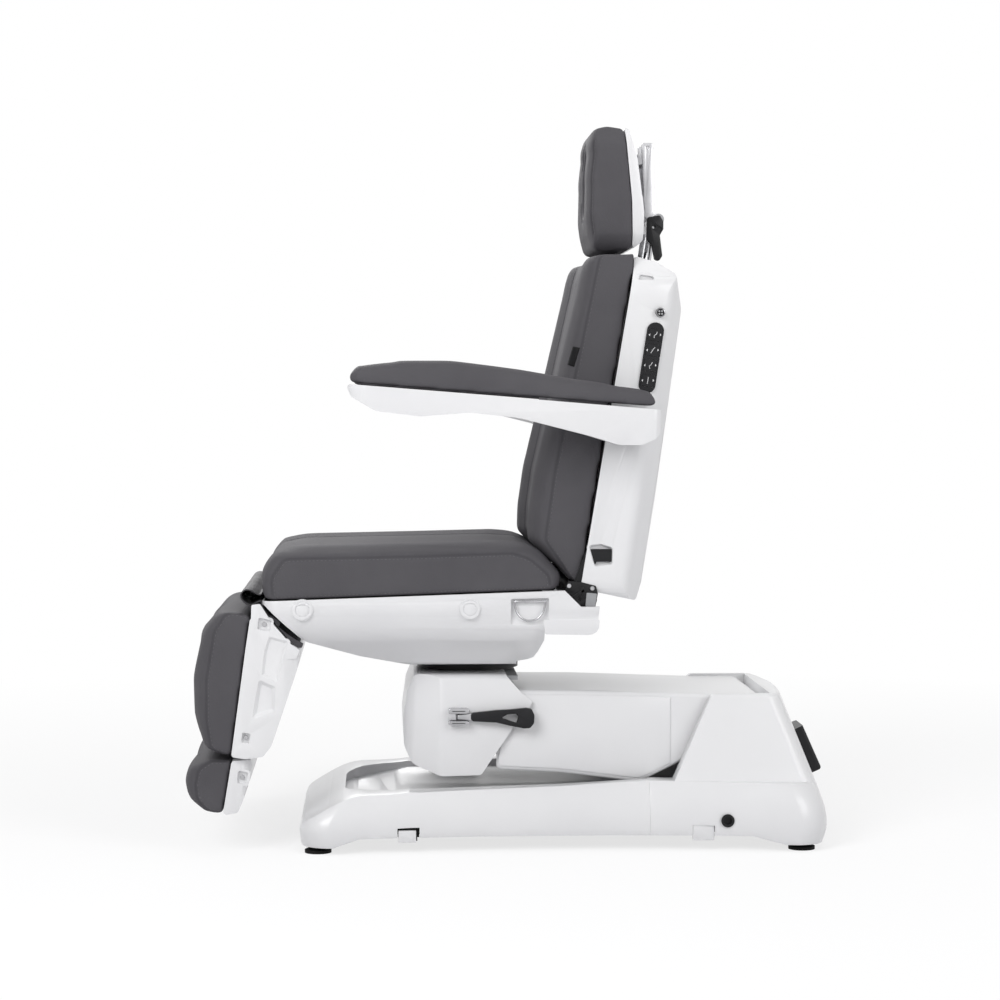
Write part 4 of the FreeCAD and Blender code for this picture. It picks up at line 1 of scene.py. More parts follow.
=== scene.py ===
import math

import bmesh
import bpy
import numpy as np
from mathutils import Matrix, Vector
from mathutils.bvhtree import BVHTree


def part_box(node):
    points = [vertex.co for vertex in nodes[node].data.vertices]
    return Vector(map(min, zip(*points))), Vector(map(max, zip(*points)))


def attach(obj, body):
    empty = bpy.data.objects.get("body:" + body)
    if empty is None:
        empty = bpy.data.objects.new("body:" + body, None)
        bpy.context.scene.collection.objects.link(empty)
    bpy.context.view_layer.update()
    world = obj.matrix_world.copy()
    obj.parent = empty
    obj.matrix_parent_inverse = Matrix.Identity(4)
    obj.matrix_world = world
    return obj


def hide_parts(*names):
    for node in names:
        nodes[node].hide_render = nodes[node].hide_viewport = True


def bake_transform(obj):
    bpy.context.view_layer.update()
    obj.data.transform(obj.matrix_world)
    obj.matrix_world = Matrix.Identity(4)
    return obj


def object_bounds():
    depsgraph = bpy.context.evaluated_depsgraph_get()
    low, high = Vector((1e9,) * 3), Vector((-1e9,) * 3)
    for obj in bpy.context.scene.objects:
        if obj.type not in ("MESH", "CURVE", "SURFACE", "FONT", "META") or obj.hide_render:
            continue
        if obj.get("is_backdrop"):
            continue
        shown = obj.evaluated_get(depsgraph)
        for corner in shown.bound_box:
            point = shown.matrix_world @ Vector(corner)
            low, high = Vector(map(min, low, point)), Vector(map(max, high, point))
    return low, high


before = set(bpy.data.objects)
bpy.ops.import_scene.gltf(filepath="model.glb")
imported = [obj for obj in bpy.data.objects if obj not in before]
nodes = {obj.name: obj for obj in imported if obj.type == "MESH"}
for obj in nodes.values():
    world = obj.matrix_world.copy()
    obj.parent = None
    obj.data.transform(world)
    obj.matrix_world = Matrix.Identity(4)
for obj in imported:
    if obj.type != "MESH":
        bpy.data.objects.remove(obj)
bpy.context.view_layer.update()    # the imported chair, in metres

scene = bpy.context.scene


# Camera, floor and lamps
view = {"place": (5.2908, -0.2623, 0.8618), "aim": (0, -0.022, 0.663), "fieldDegrees": 21.3}
studio = {
    "floorColour": (0.90, 0.90, 0.91, 1), "worldFill": 0.36,
    "paleFrom": 1.0, "paleTo": 3.2, "paleNear": 0.74, "paleFar": 1.0,
    "lamps": [
        ("keySoftbox", (3.8, -2.4, 2.9), 2.4, 112), ("sideSoftbox", (3.4, 2.7, 2.2), 2.2, 50),
        ("topSoftbox", (0.2, -0.2, 4.2), 3.0, 24), ("farSoftbox", (-3.4, -1.2, 2.6), 2.4, 56),
    ],
}


def setCamera():
    lens = bpy.data.cameras.new("photoCamera")
    lens.sensor_width = 36
    lens.lens = 18 / math.tan(math.radians(view["fieldDegrees"]) / 2)
    camera = bpy.data.objects.new("photoCamera", lens)
    camera.location = view["place"]
    look = Vector(view["aim"]) - Vector(view["place"])
    camera.rotation_euler = look.to_track_quat("-Z", "Y").to_euler()
    scene.collection.objects.link(camera)
    scene.camera = camera


def addNode(tree, kind, sockets=None, **settings):
    node = tree.nodes.new(kind)
    for key, value in settings.items():
        setattr(node, key, value)
    for key, value in (sockets or {}).items():
        node.inputs[key].default_value = value
    return node


def join(tree, source, target):
    tree.links.new(source, target)


def paleToCamera(tree):    # 1 where the camera, a gloss or a glass ray looks
    path = addNode(tree, "ShaderNodeLightPath")
    first = addNode(tree, "ShaderNodeMath", operation="MAXIMUM")
    second = addNode(tree, "ShaderNodeMath", operation="MAXIMUM")
    join(tree, path.outputs["Is Camera Ray"], first.inputs[0])
    join(tree, path.outputs["Is Glossy Ray"], first.inputs[1])
    join(tree, first.outputs[0], second.inputs[0])
    join(tree, path.outputs["Is Transmission Ray"], second.inputs[1])
    return second.outputs[0]


def setStudio():
    world = bpy.data.worlds.new("studio")
    world.use_nodes = True
    tree = world.node_tree
    tree.nodes.clear()
    fill = addNode(tree, "ShaderNodeBackground", {"Color": (1, 1, 1, 1), "Strength": studio["worldFill"]})
    pale = addNode(tree, "ShaderNodeBackground", {"Color": (1, 1, 1, 1), "Strength": 1.0})
    mix = addNode(tree, "ShaderNodeMixShader")
    end = addNode(tree, "ShaderNodeOutputWorld")
    join(tree, paleToCamera(tree), mix.inputs[0])
    join(tree, fill.outputs[0], mix.inputs[1])
    join(tree, pale.outputs[0], mix.inputs[2])
    join(tree, mix.outputs[0], end.inputs[0])
    scene.world = world

    size = 40
    mesh = bpy.data.meshes.new("studioFloor")
    mesh.from_pydata([(-size, -size, 0), (size, -size, 0), (size, size, 0), (-size, size, 0)], [], [(0, 1, 2, 3)])
    floor = bpy.data.objects.new("studioFloor", mesh)
    scene.collection.objects.link(floor)
    material = bpy.data.materials.new("studioFloor")
    material.use_nodes = True
    tree = material.node_tree
    tree.nodes.clear()
    matte = addNode(tree, "ShaderNodeBsdfDiffuse", {"Color": studio["floorColour"], "Roughness": 0.9})
    glow = addNode(tree, "ShaderNodeEmission", {"Color": (1, 1, 1, 1), "Strength": 1.0})
    place = addNode(tree, "ShaderNodeTexCoord")
    away = addNode(tree, "ShaderNodeVectorMath", operation="LENGTH")
    fade = addNode(tree, "ShaderNodeMapRange", {"From Min": studio["paleFrom"], "From Max": studio["paleTo"],
                                                "To Min": studio["paleNear"], "To Max": studio["paleFar"]})
    share = addNode(tree, "ShaderNodeMath", operation="MULTIPLY")
    join(tree, place.outputs["Object"], away.inputs[0])
    join(tree, away.outputs["Value"], fade.inputs["Value"])
    join(tree, fade.outputs["Result"], share.inputs[1])
    mix = addNode(tree, "ShaderNodeMixShader")
    end = addNode(tree, "ShaderNodeOutputMaterial")
    join(tree, paleToCamera(tree), share.inputs[0])
    join(tree, share.outputs[0], mix.inputs[0])
    join(tree, matte.outputs[0], mix.inputs[1])
    join(tree, glow.outputs[0], mix.inputs[2])
    join(tree, mix.outputs[0], end.inputs[0])
    mesh.materials.append(material)
    floor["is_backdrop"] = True

    for name, place, size, power in studio["lamps"]:
        lamp = bpy.data.lights.new(name, "AREA")
        lamp.size = size
        lamp.energy = power
        holder = bpy.data.objects.new(name, lamp)
        holder.location = place
        aim = Vector((0, 0, 0.6)) - Vector(place)
        holder.rotation_euler = aim.to_track_quat("-Z", "Y").to_euler()
        scene.collection.objects.link(holder)
    scene.view_settings.view_transform = "Standard"


setCamera()
setStudio()
print("camera and studio set")


# Finishes: colour drifts between two tones, roughness between two values, and a bump of two grains
finishes = {
    "paleShell": {"slot": "shell_white", "tones": ((0.80, 0.80, 0.81), (0.76, 0.76, 0.775)), "drift": 3.2,
                  "rough": (0.26, 0.36), "grain": 620, "depth": 0.00006, "swell": 9, "swellDepth": 0.0006,
                  "shader": {"Specular IOR Level": 0.5, "Coat Weight": 0.25, "Coat Roughness": 0.12}},
    "darkLeather": {"slot": "pad_grey", "tones": ((0.106, 0.103, 0.111), (0.090, 0.087, 0.095)), "drift": 5.5,
                    "rough": (0.56, 0.7), "grain": 560, "depth": 0.00042, "swell": 34, "swellDepth": 0.0009,
                    "pebbled": True, "seamed": True, "shader": {"Specular IOR Level": 0.06, "Sheen Weight": 0.0}},
    "darkStrip": {"slot": "pad_grey", "tones": ((0.070, 0.068, 0.073), (0.050, 0.048, 0.052)), "drift": 14,
                  "rough": (0.46, 0.6), "grain": 560, "depth": 0.0004, "swell": 48, "swellDepth": 0.0014,
                  "pebbled": True, "shader": {"Specular IOR Level": 0.15}},
    "blackPaint": {"slot": "frame_black", "tones": ((0.012, 0.012, 0.014), (0.007, 0.007, 0.008)), "drift": 9,
                   "rough": (0.34, 0.48), "grain": 900, "depth": 0.00012, "swell": 120, "swellDepth": 0.0002,
                   "shader": {"Specular IOR Level": 0.26}},
    "greyPaint": {"slot": "frame_grey", "tones": ((0.34, 0.345, 0.355), (0.29, 0.295, 0.305)), "drift": 8,
                  "rough": (0.34, 0.48), "grain": 900, "depth": 0.00012, "swell": 120, "swellDepth": 0.0002,
                  "shader": {"Specular IOR Level": 0.5}},
    "brushedSteel": {"slot": "steel", "tones": ((0.56, 0.56, 0.575), (0.46, 0.46, 0.475)), "drift": 12,
                     "rough": (0.24, 0.42), "grain": 260, "depth": 0.00005, "swell": 30, "swellDepth": 0.0001,
                     "stretch": (1, 0.06, 1), "shader": {"Metallic": 1.0}},
    "polishedChrome": {"slot": "chrome", "tones": ((0.52, 0.52, 0.535), (0.40, 0.40, 0.415)), "drift": 20,
                       "rough": (0.10, 0.22), "grain": 300, "depth": 0.00002, "swell": 60, "swellDepth": 0.00005,
                       "shader": {"Metallic": 1.0}},
    "blackPlastic": {"slot": "black_plastic", "tones": ((0.012, 0.012, 0.014), (0.007, 0.007, 0.008)), "drift": 14,
                     "rough": (0.3, 0.44), "grain": 1100, "depth": 0.00014, "swell": 160, "swellDepth": 0.0001,
                     "shader": {"Specular IOR Level": 0.26}},
    "blackRubber": {"slot": "rubber", "tones": ((0.012, 0.012, 0.012), (0.007, 0.007, 0.007)), "drift": 18,
                    "rough": (0.62, 0.8), "grain": 700, "depth": 0.0002, "swell": 90, "swellDepth": 0.0003,
                    "shader": {"Specular IOR Level": 0.16}},
    "paleInk": {"slot": "black_plastic", "tones": ((0.78, 0.78, 0.79), (0.66, 0.66, 0.67)), "drift": 90,
                "rough": (0.45, 0.6), "grain": 1500, "depth": 0.00003, "swell": 200, "swellDepth": 0.00003,
                "shader": {"Specular IOR Level": 0.4}},
    "sewingThread": {"slot": "pad_grey", "tones": ((0.135, 0.131, 0.138), (0.10, 0.097, 0.103)), "drift": 240,
                     "rough": (0.55, 0.7), "grain": 2600, "depth": 0.0001, "swell": 400, "swellDepth": 0.0001,
                     "shader": {"Specular IOR Level": 0.35, "Sheen Weight": 0.1}},
    "wovenTag": {"slot": "pad_grey", "tones": ((0.016, 0.016, 0.017), (0.009, 0.009, 0.010)), "drift": 60,
                 "rough": (0.6, 0.75), "grain": 1900, "depth": 0.0003, "swell": 80, "swellDepth": 0.0004,
                 "shader": {"Specular IOR Level": 0.1, "Sheen Weight": 0.0}},
}


def makeFinish(name, look):
    material = bpy.data.materials.new(name)
    material.use_nodes = True
    tree = material.node_tree
    surface = tree.nodes["Principled BSDF"]
    for socket, value in look["shader"].items():
        surface.inputs[socket].default_value = value
    place = addNode(tree, "ShaderNodeTexCoord")
    stretch = addNode(tree, "ShaderNodeMapping", {"Scale": look.get("stretch", (1, 1, 1))})
    join(tree, place.outputs["Object"], stretch.inputs["Vector"])
    drift = addNode(tree, "ShaderNodeTexNoise", {"Scale": look["drift"], "Detail": 3.0, "Roughness": 0.55})
    join(tree, place.outputs["Object"], drift.inputs["Vector"])
    tones = addNode(tree, "ShaderNodeValToRGB")
    light, dark = look["tones"]
    tones.color_ramp.elements[0].position = 0.32
    tones.color_ramp.elements[0].color = (*dark, 1)
    tones.color_ramp.elements[1].position = 0.68
    tones.color_ramp.elements[1].color = (*light, 1)
    join(tree, drift.outputs["Fac"], tones.inputs["Fac"])
    colour = tones.outputs["Color"]

    if look.get("pebbled"):    # leather grain: rounded cells
        grain = addNode(tree, "ShaderNodeTexVoronoi", {"Scale": look["grain"], "Randomness": 0.9}, feature="F1")
        height = grain.outputs["Distance"]
    else:
        grain = addNode(tree, "ShaderNodeTexNoise", {"Scale": look["grain"], "Detail": 2.0, "Roughness": 0.6})
        height = grain.outputs["Fac"]
    join(tree, stretch.outputs["Vector"], grain.inputs["Vector"])
    swell = addNode(tree, "ShaderNodeTexNoise", {"Scale": look["swell"], "Detail": 2.0, "Roughness": 0.5})
    join(tree, place.outputs["Object"], swell.inputs["Vector"])

    if look.get("seamed"):    # painted shade: the colour is darkened along the pressed seams, standing in for the shadow in their grooves
        seam = addNode(tree, "ShaderNodeAttribute", attribute_name="seam")
        seamShade = addNode(tree, "ShaderNodeMix", data_type="RGBA", blend_type="MULTIPLY")
        seamShade.inputs[7].default_value = (0.62, 0.62, 0.63, 1)
        join(tree, seam.outputs["Fac"], seamShade.inputs[0])
        join(tree, colour, seamShade.inputs[6])
        colour = seamShade.outputs[2]
    join(tree, colour, surface.inputs["Base Color"])

    gloss = addNode(tree, "ShaderNodeMapRange", {"To Min": look["rough"][0], "To Max": look["rough"][1]})
    join(tree, drift.outputs["Fac"], gloss.inputs["Value"])
    join(tree, gloss.outputs["Result"], surface.inputs["Roughness"])
    broad = addNode(tree, "ShaderNodeBump", {"Strength": 0.35, "Distance": look["swellDepth"]})
    fine = addNode(tree, "ShaderNodeBump", {"Strength": 0.5, "Distance": look["depth"]})
    join(tree, swell.outputs["Fac"], broad.inputs["Height"])
    join(tree, height, fine.inputs["Height"])
    join(tree, broad.outputs["Normal"], fine.inputs["Normal"])
    join(tree, fine.outputs["Normal"], surface.inputs["Normal"])
    return material


material = {name: makeFinish(name, look) for name, look in finishes.items()}
finishOf = {"shell_white": "paleShell", "pad_grey": "darkLeather", "frame_black": "blackPaint",
            "frame_grey": "greyPaint", "steel": "brushedSteel", "chrome": "polishedChrome",
            "black_plastic": "blackPlastic", "rubber": "blackRubber"}
for cadNode in nodes.values():
    for slot in cadNode.material_slots:
        slot.material = material[finishOf[slot.material.name.split(".")[0]]]
print("finishes made")


# Mesh helpers
def addPiece(name, mesh):
    piece = bpy.data.objects.new(name, mesh)
    scene.collection.objects.link(piece)
    return piece


def bake(piece):    # its modifiers become its mesh
    bpy.context.view_layer.update()
    graph = bpy.context.evaluated_depsgraph_get()
    mesh = bpy.data.meshes.new_from_object(piece.evaluated_get(graph))
    piece.modifiers.clear()
    piece.data = mesh
    return piece


def dress(piece, finish, body, *replaced):
    piece.data.materials.clear()
    piece.data.materials.append(material[finish])
    if body:
        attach(piece, body)
    if replaced:
        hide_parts(*replaced)
    return piece


def mergedCopy(node, name):
    mesh = nodes[node].data.copy()
    if "custom_normal" in mesh.attributes:
        mesh.attributes.remove(mesh.attributes["custom_normal"])
    shape = bmesh.new()
    shape.from_mesh(mesh)
    bmesh.ops.remove_doubles(shape, verts=shape.verts, dist=1e-5)
    bmesh.ops.dissolve_degenerate(shape, edges=shape.edges, dist=1e-6)
    shape.to_mesh(mesh)
    shape.free()
    mesh.materials.clear()
    return addPiece(name, mesh)


def spotsOf(mesh):
    flat = np.empty(len(mesh.vertices) * 3)
    mesh.vertices.foreach_get("co", flat)
    return flat.reshape(-1, 3)


def outwardOf(mesh):
    flat = np.empty(len(mesh.vertices) * 3)
    mesh.vertex_normals.foreach_get("vector", flat)
    return flat.reshape(-1, 3)


def setSpots(mesh, spots):
    mesh.vertices.foreach_set("co", spots.astype(np.float32).ravel())
    mesh.update()


def rayTree(mesh):
    return BVHTree.FromPolygons([v.co for v in mesh.vertices], [p.vertices for p in mesh.polygons])


def faceOutward(mesh, merged=0):
    shape = bmesh.new()
    shape.from_mesh(mesh)
    if merged:
        bmesh.ops.remove_doubles(shape, verts=shape.verts, dist=merged)
    bmesh.ops.recalc_face_normals(shape, faces=shape.faces)
    shape.to_mesh(mesh)
    shape.free()


def eased(value, low, high):
    share = np.clip((value - low) / (high - low), 0, 1)
    return share * share * (3 - 2 * share)


def shadeByAngle(mesh, degrees=34):
    mesh.shade_smooth()
    mesh.set_sharp_from_angle(angle=math.radians(degrees))


def roundOff(corners, radius, steps=6):    # a flat outline with its corners turned
    outline = []
    count = len(corners)
    for index in range(count):
        before, at, after = (Vector(corners[(index + k) % count]) for k in (-1, 0, 1))
        inward, onward = (before - at).normalized(), (after - at).normalized()
        half = inward.angle(onward) / 2
        reach = min(radius / math.tan(half), 0.45 * (before - at).length, 0.45 * (after - at).length)
        turn = reach * math.tan(half)
        first, last = at + inward * reach, at + onward * reach
        middle = at + (inward + onward).normalized() * (turn / math.sin(half))
        for step in range(steps + 1):
            way = (first - middle).lerp(last - middle, step / steps)
            outline.append(middle + way.normalized() * turn)
    return outline


def drawnIn(outline, by):    # the same outline, every side moved inward
    count = len(outline)
    area = sum(a.x * b.y - a.y * b.x for a, b in zip(outline, outline[1:] + outline[:1]))
    turn = 1 if area > 0 else -1
    moved = []
    for index, at in enumerate(outline):
        before, after = (at - outline[index - 1]).normalized(), (outline[(index + 1) % count] - at).normalized()
        first, last = Vector((-before.y, before.x)), Vector((-after.y, after.x))
        moved.append(at + (first + last) * (by * turn / max(0.3, 1 + first.dot(last))))
    return moved


def sidePlug(name, near, far, x0, x1):    # a plug through the side, from one outline to another
    count = len(near)
    verts = [(x0, p.x, p.y) for p in near] + [(x1, p.x, p.y) for p in far]
    faces = [tuple(range(count)), tuple(range(2 * count - 1, count - 1, -1))]
    faces += [(i, (i + 1) % count, count + (i + 1) % count, count + i) for i in range(count)]
    mesh = bpy.data.meshes.new(name)
    mesh.from_pydata(verts, [], faces)
    faceOutward(mesh)
    return addPiece(name, mesh)


def soften(piece, edge, degrees):
    softened = piece.modifiers.new("edge", "BEVEL")
    softened.width = edge
    softened.segments = 2
    softened.limit_method = "ANGLE"
    softened.angle_limit = math.radians(degrees)
    bake(piece)
    shadeByAngle(piece.data)
    return piece


def lowerNose(mesh):    # the base's front slopes down to the floor more gently than its solid
    shape = bmesh.new()
    shape.from_mesh(mesh)
    for row in noseLine:
        every = shape.verts[:] + shape.edges[:] + shape.faces[:]
        bmesh.ops.bisect_plane(shape, geom=every, dist=1e-5, plane_co=(0, row[0], 0), plane_no=(0, 1, 0))
    place, old, new = np.array(noseLine).T
    for vert in shape.verts:
        above = vert.co.z - noseFoot
        if above > 0 and vert.co.y < noseLine[-1][0]:
            share = (np.interp(vert.co.y, place, new) - noseFoot) / (np.interp(vert.co.y, place, old) - noseFoot)
            vert.co.z = noseFoot + above * share
    shape.to_mesh(mesh)
    shape.free()


noseFoot = 0.040    # below this height the cover keeps its shape
noseLine = [(-0.415, 0.050, 0.0465), (-0.409, 0.072, 0.0600), (-0.396, 0.084, 0.0680), (-0.374, 0.1035, 0.0800),
            (-0.359, 0.117, 0.0895), (-0.341, 0.1225, 0.0980), (-0.325, 0.1272, 0.1045), (-0.306, 0.133, 0.1095),
            (-0.267, 0.127, 0.1110), (-0.235, 0.1203, 0.1125), (-0.2055, 0.114, 0.114)]


def dressShell(node, name, beds=(), cuts=(), edge=0.0014, against=None):
    piece = mergedCopy(node, name)
    if node == "base_front_cover":
        lowerNose(piece.data)
    if against:
        leanOn(piece.data, pads[against], 0.03, 10, crown=False)
    for tool, way in [(bed, "UNION") for bed in beds] + [(cut, "DIFFERENCE") for cut in cuts]:
        step = piece.modifiers.new("shape", "BOOLEAN")
        step.object = tool
        step.operation = way
        step.solver = "EXACT"
    if beds or cuts:
        bake(piece)
    for tool in [*beds, *cuts]:
        bpy.data.objects.remove(tool)
    shape = bmesh.new()
    shape.from_mesh(piece.data)
    bmesh.ops.remove_doubles(shape, verts=shape.verts, dist=1e-5)
    bmesh.ops.dissolve_limit(shape, angle_limit=math.radians(0.15), verts=shape.verts, edges=shape.edges)
    shape.to_mesh(piece.data)
    shape.free()
    return soften(piece, edge, 38)


# Geometry node trees for what repeats
def newTree(name, sockets):
    tree = bpy.data.node_groups.new(name, "GeometryNodeTree")
    tree.interface.new_socket("Geometry", in_out="INPUT", socket_type="NodeSocketGeometry")
    for label, kind, value in sockets:
        socket = tree.interface.new_socket(label, in_out="INPUT", socket_type=kind)
        if value is not None:
            socket.default_value = value
    tree.interface.new_socket("Geometry", in_out="OUTPUT", socket_type="NodeSocketGeometry")
    return tree, tree.nodes.new("NodeGroupInput"), tree.nodes.new("NodeGroupOutput")


def endTree(tree, start, end, geometry):
    whole = addNode(tree, "GeometryNodeRealizeInstances")
    smooth = addNode(tree, "GeometryNodeSetShadeSmooth")
    finish = addNode(tree, "GeometryNodeSetMaterial")
    join(tree, geometry, whole.inputs[0])
    join(tree, whole.outputs[0], smooth.inputs["Geometry"])
    join(tree, smooth.outputs[0], finish.inputs["Geometry"])
    join(tree, start.outputs["Finish"], finish.inputs["Material"])
    join(tree, finish.outputs[0], end.inputs[0])


def growTree(piece, tree, values):
    grown = piece.modifiers.new("grown", "NODES")
    grown.node_group = tree
    for item in tree.interface.items_tree:
        if item.item_type == "SOCKET" and item.in_out == "INPUT" and item.name in values:
            grown[item.identifier] = values[item.name]
    return bake(piece)


def makeStitchTree():    # short threads along a line
    tree, start, end = newTree("stitchRow", [
        ("Step", "NodeSocketFloat", 0.007), ("Long", "NodeSocketFloat", 0.004),
        ("Thick", "NodeSocketFloat", 0.0008),
        ("Finish", "NodeSocketMaterial", None)])
    line = addNode(tree, "GeometryNodeMeshToCurve")
    spaced = addNode(tree, "GeometryNodeResampleCurve", mode="LENGTH")
    thread = addNode(tree, "GeometryNodeMeshIcoSphere", {"Radius": 0.5, "Subdivisions": 1})
    placed = addNode(tree, "GeometryNodeInstanceOnPoints")
    tangent = addNode(tree, "GeometryNodeInputTangent")
    turned = addNode(tree, "FunctionNodeAlignRotationToVector", axis="Z")
    size = addNode(tree, "ShaderNodeCombineXYZ")
    join(tree, start.outputs["Geometry"], line.inputs[0])
    join(tree, line.outputs[0], spaced.inputs["Curve"])
    join(tree, start.outputs["Step"], spaced.inputs["Length"])
    join(tree, spaced.outputs[0], placed.inputs["Points"])
    join(tree, thread.outputs["Mesh"], placed.inputs["Instance"])
    join(tree, tangent.outputs[0], turned.inputs["Vector"])
    join(tree, turned.outputs[0], placed.inputs["Rotation"])
    join(tree, start.outputs["Thick"], size.inputs[0])
    join(tree, start.outputs["Thick"], size.inputs[1])
    join(tree, start.outputs["Long"], size.inputs[2])
    join(tree, size.outputs[0], placed.inputs["Scale"])
    endTree(tree, start, end, placed.outputs[0])
    return tree


def makeScrewTree():    # socket-head screws at points that carry the way they look
    tree, start, end = newTree("screwSet", [
        ("Round", "NodeSocketFloat", 0.004), ("Crown", "NodeSocketFloat", 0.0032), ("Tall", "NodeSocketFloat", 0.0025),
        ("Socket", "NodeSocketFloat", 0.0018), ("Finish", "NodeSocketMaterial", None)])
    head = addNode(tree, "GeometryNodeMeshCone", {"Vertices": 24})
    key = addNode(tree, "GeometryNodeMeshCylinder", {"Vertices": 6})
    lifted = addNode(tree, "GeometryNodeTransform")
    up = addNode(tree, "ShaderNodeCombineXYZ")
    drilled = addNode(tree, "GeometryNodeMeshBoolean", operation="DIFFERENCE")
    spots = addNode(tree, "GeometryNodeMeshToPoints")
    aim = addNode(tree, "GeometryNodeInputNamedAttribute", {"Name": "aim"}, data_type="FLOAT_VECTOR")
    turned = addNode(tree, "FunctionNodeAlignRotationToVector", axis="Z")
    placed = addNode(tree, "GeometryNodeInstanceOnPoints")
    join(tree, start.outputs["Round"], head.inputs["Radius Bottom"])
    join(tree, start.outputs["Crown"], head.inputs["Radius Top"])
    join(tree, start.outputs["Tall"], head.inputs["Depth"])
    join(tree, start.outputs["Socket"], key.inputs["Radius"])
    join(tree, start.outputs["Tall"], key.inputs["Depth"])
    join(tree, start.outputs["Tall"], up.inputs[2])
    join(tree, key.outputs["Mesh"], lifted.inputs["Geometry"])
    join(tree, up.outputs[0], lifted.inputs["Translation"])
    join(tree, head.outputs["Mesh"], drilled.inputs["Mesh 1"])
    join(tree, lifted.outputs[0], drilled.inputs["Mesh 2"])
    join(tree, start.outputs["Geometry"], spots.inputs[0])
    join(tree, spots.outputs[0], placed.inputs["Points"])
    join(tree, drilled.outputs[0], placed.inputs["Instance"])
    join(tree, aim.outputs["Attribute"], turned.inputs["Vector"])
    join(tree, turned.outputs[0], placed.inputs["Rotation"])
    endTree(tree, start, end, placed.outputs[0])
    return tree


stitchTree, screwTree = makeStitchTree(), makeScrewTree()
print("geometry node trees made")


def addScrews(name, body, screws, finish="brushedSteel", **sizes):
    mesh = bpy.data.meshes.new(name)
    mesh.from_pydata([place for place, way in screws], [], [])
    aim = mesh.attributes.new("aim", "FLOAT_VECTOR", "POINT")
    aim.data.foreach_set("vector", [value for place, way in screws for value in way])
    piece = growTree(addPiece(name, mesh), screwTree, {**sizes, "Finish": material[finish]})
    shadeByAngle(piece.data)
    return dress(piece, finish, body)


# Pads: copied from their solids, remeshed, blown up a little by cloth, then seamed and sewn
pads = {
    "seatPad": {"node": "seat_cushion", "body": "seat", "voxel": 0.0085, "seat": (0, 0, 0.5036), "up": (0, 0, 1),
                "slack": 0.001, "swell": 0.007, "fill": 0.8},
    "backPad": {"node": "backrest_cushion", "body": "back", "voxel": 0.0085, "seat": (0, 0.1308, 0.531),
                "up": (0, -1, 0.1449), "slack": 0.002, "swell": 0.005, "fill": 0.8},
    "headPad": {"node": "headrest_pad", "body": "headrest", "voxel": 0.0048, "seat": (0, 0.234, 1.27),
                "up": (0, -1, 0), "slack": 0.001, "swell": 0.004, "fill": 0.75},
    "armPadLeft": {"node": "armrest_pad_left", "body": "arm_left", "voxel": 0.0056, "seat": (0, -0.325, 0.893),
                   "up": (0, 0.081, 1), "slack": 0.001, "swell": 0.003, "fill": 0.8},
    "armPadRight": {"node": "armrest_pad_right", "body": "arm_right", "voxel": 0.0056, "seat": (0, -0.325, 0.893),
                    "up": (0, 0.081, 1), "slack": 0.001, "swell": 0.003, "fill": 0.8},
    "legPad": {"node": "leg_cushion", "body": "leg", "voxel": 0.0072, "seat": (0, -0.5473, 0.1941),
               "up": (0, -1, 0.1175), "slack": 0.001, "swell": 0.006, "fill": 0.8},
    "footPad": {"node": "foot_cushion", "body": "foot", "voxel": 0.006, "seat": (0, -0.5553, 0.078),
                "up": (0, -1, 0.1155), "slack": 0.001, "swell": 0.005, "fill": 0.8},
}
clothLook = {"frames": 14, "quality": 3, "pressure": 5.0, "stiffness": 12.0, "mass": 0.3, "held": 0.003,
             "reach": 0.02,
             "evened": 8}


def evenedOut(mesh, values, times):    # each value shared with its neighbours, so no creases stay
    ends = np.empty(len(mesh.edges) * 2, dtype=np.int64)
    mesh.edges.foreach_get("vertices", ends)
    first, last = ends.reshape(-1, 2).T
    count = np.bincount(ends, minlength=len(values))
    for turn in range(times):
        around = np.bincount(first, values[last], len(values)) + np.bincount(last, values[first], len(values))
        values = 0.4 * values + 0.6 * around / np.maximum(count, 1)
    return values


def inflate(piece, free, pad):
    start, outward = spotsOf(piece.data), outwardOf(piece.data)
    group = piece.vertex_groups.new(name="held")
    for index in np.nonzero(free < 0.98)[0]:
        group.add([int(index)], float(1 - free[index]), "REPLACE")
    cloth = piece.modifiers.new("cloth", "CLOTH")
    rules = cloth.settings
    rules.quality = clothLook["quality"]
    rules.mass = clothLook["mass"]
    rules.tension_stiffness = rules.compression_stiffness = clothLook["stiffness"]
    rules.use_pressure = True
    rules.uniform_pressure_force = clothLook["pressure"]
    rules.vertex_group_mass = "held"
    rules.effector_weights.gravity = 0
    cloth.point_cache.frame_start = 1
    cloth.point_cache.frame_end = clothLook["frames"]
    for step in range(1, clothLook["frames"] + 1):
        scene.frame_set(step)
    graph = bpy.context.evaluated_depsgraph_get()
    blown = spotsOf(piece.evaluated_get(graph).data)
    risen = np.clip(((blown - start) * outward).sum(axis=1), 0, pad["swell"])
    risen = evenedOut(piece.data, risen, clothLook["evened"]) * free * (1 - 0.6 * np.abs(outward[:, 0]))
    piece.modifiers.clear()
    piece.vertex_groups.clear()
    scene.frame_set(1)
    setSpots(piece.data, start + outward * risen[:, None])


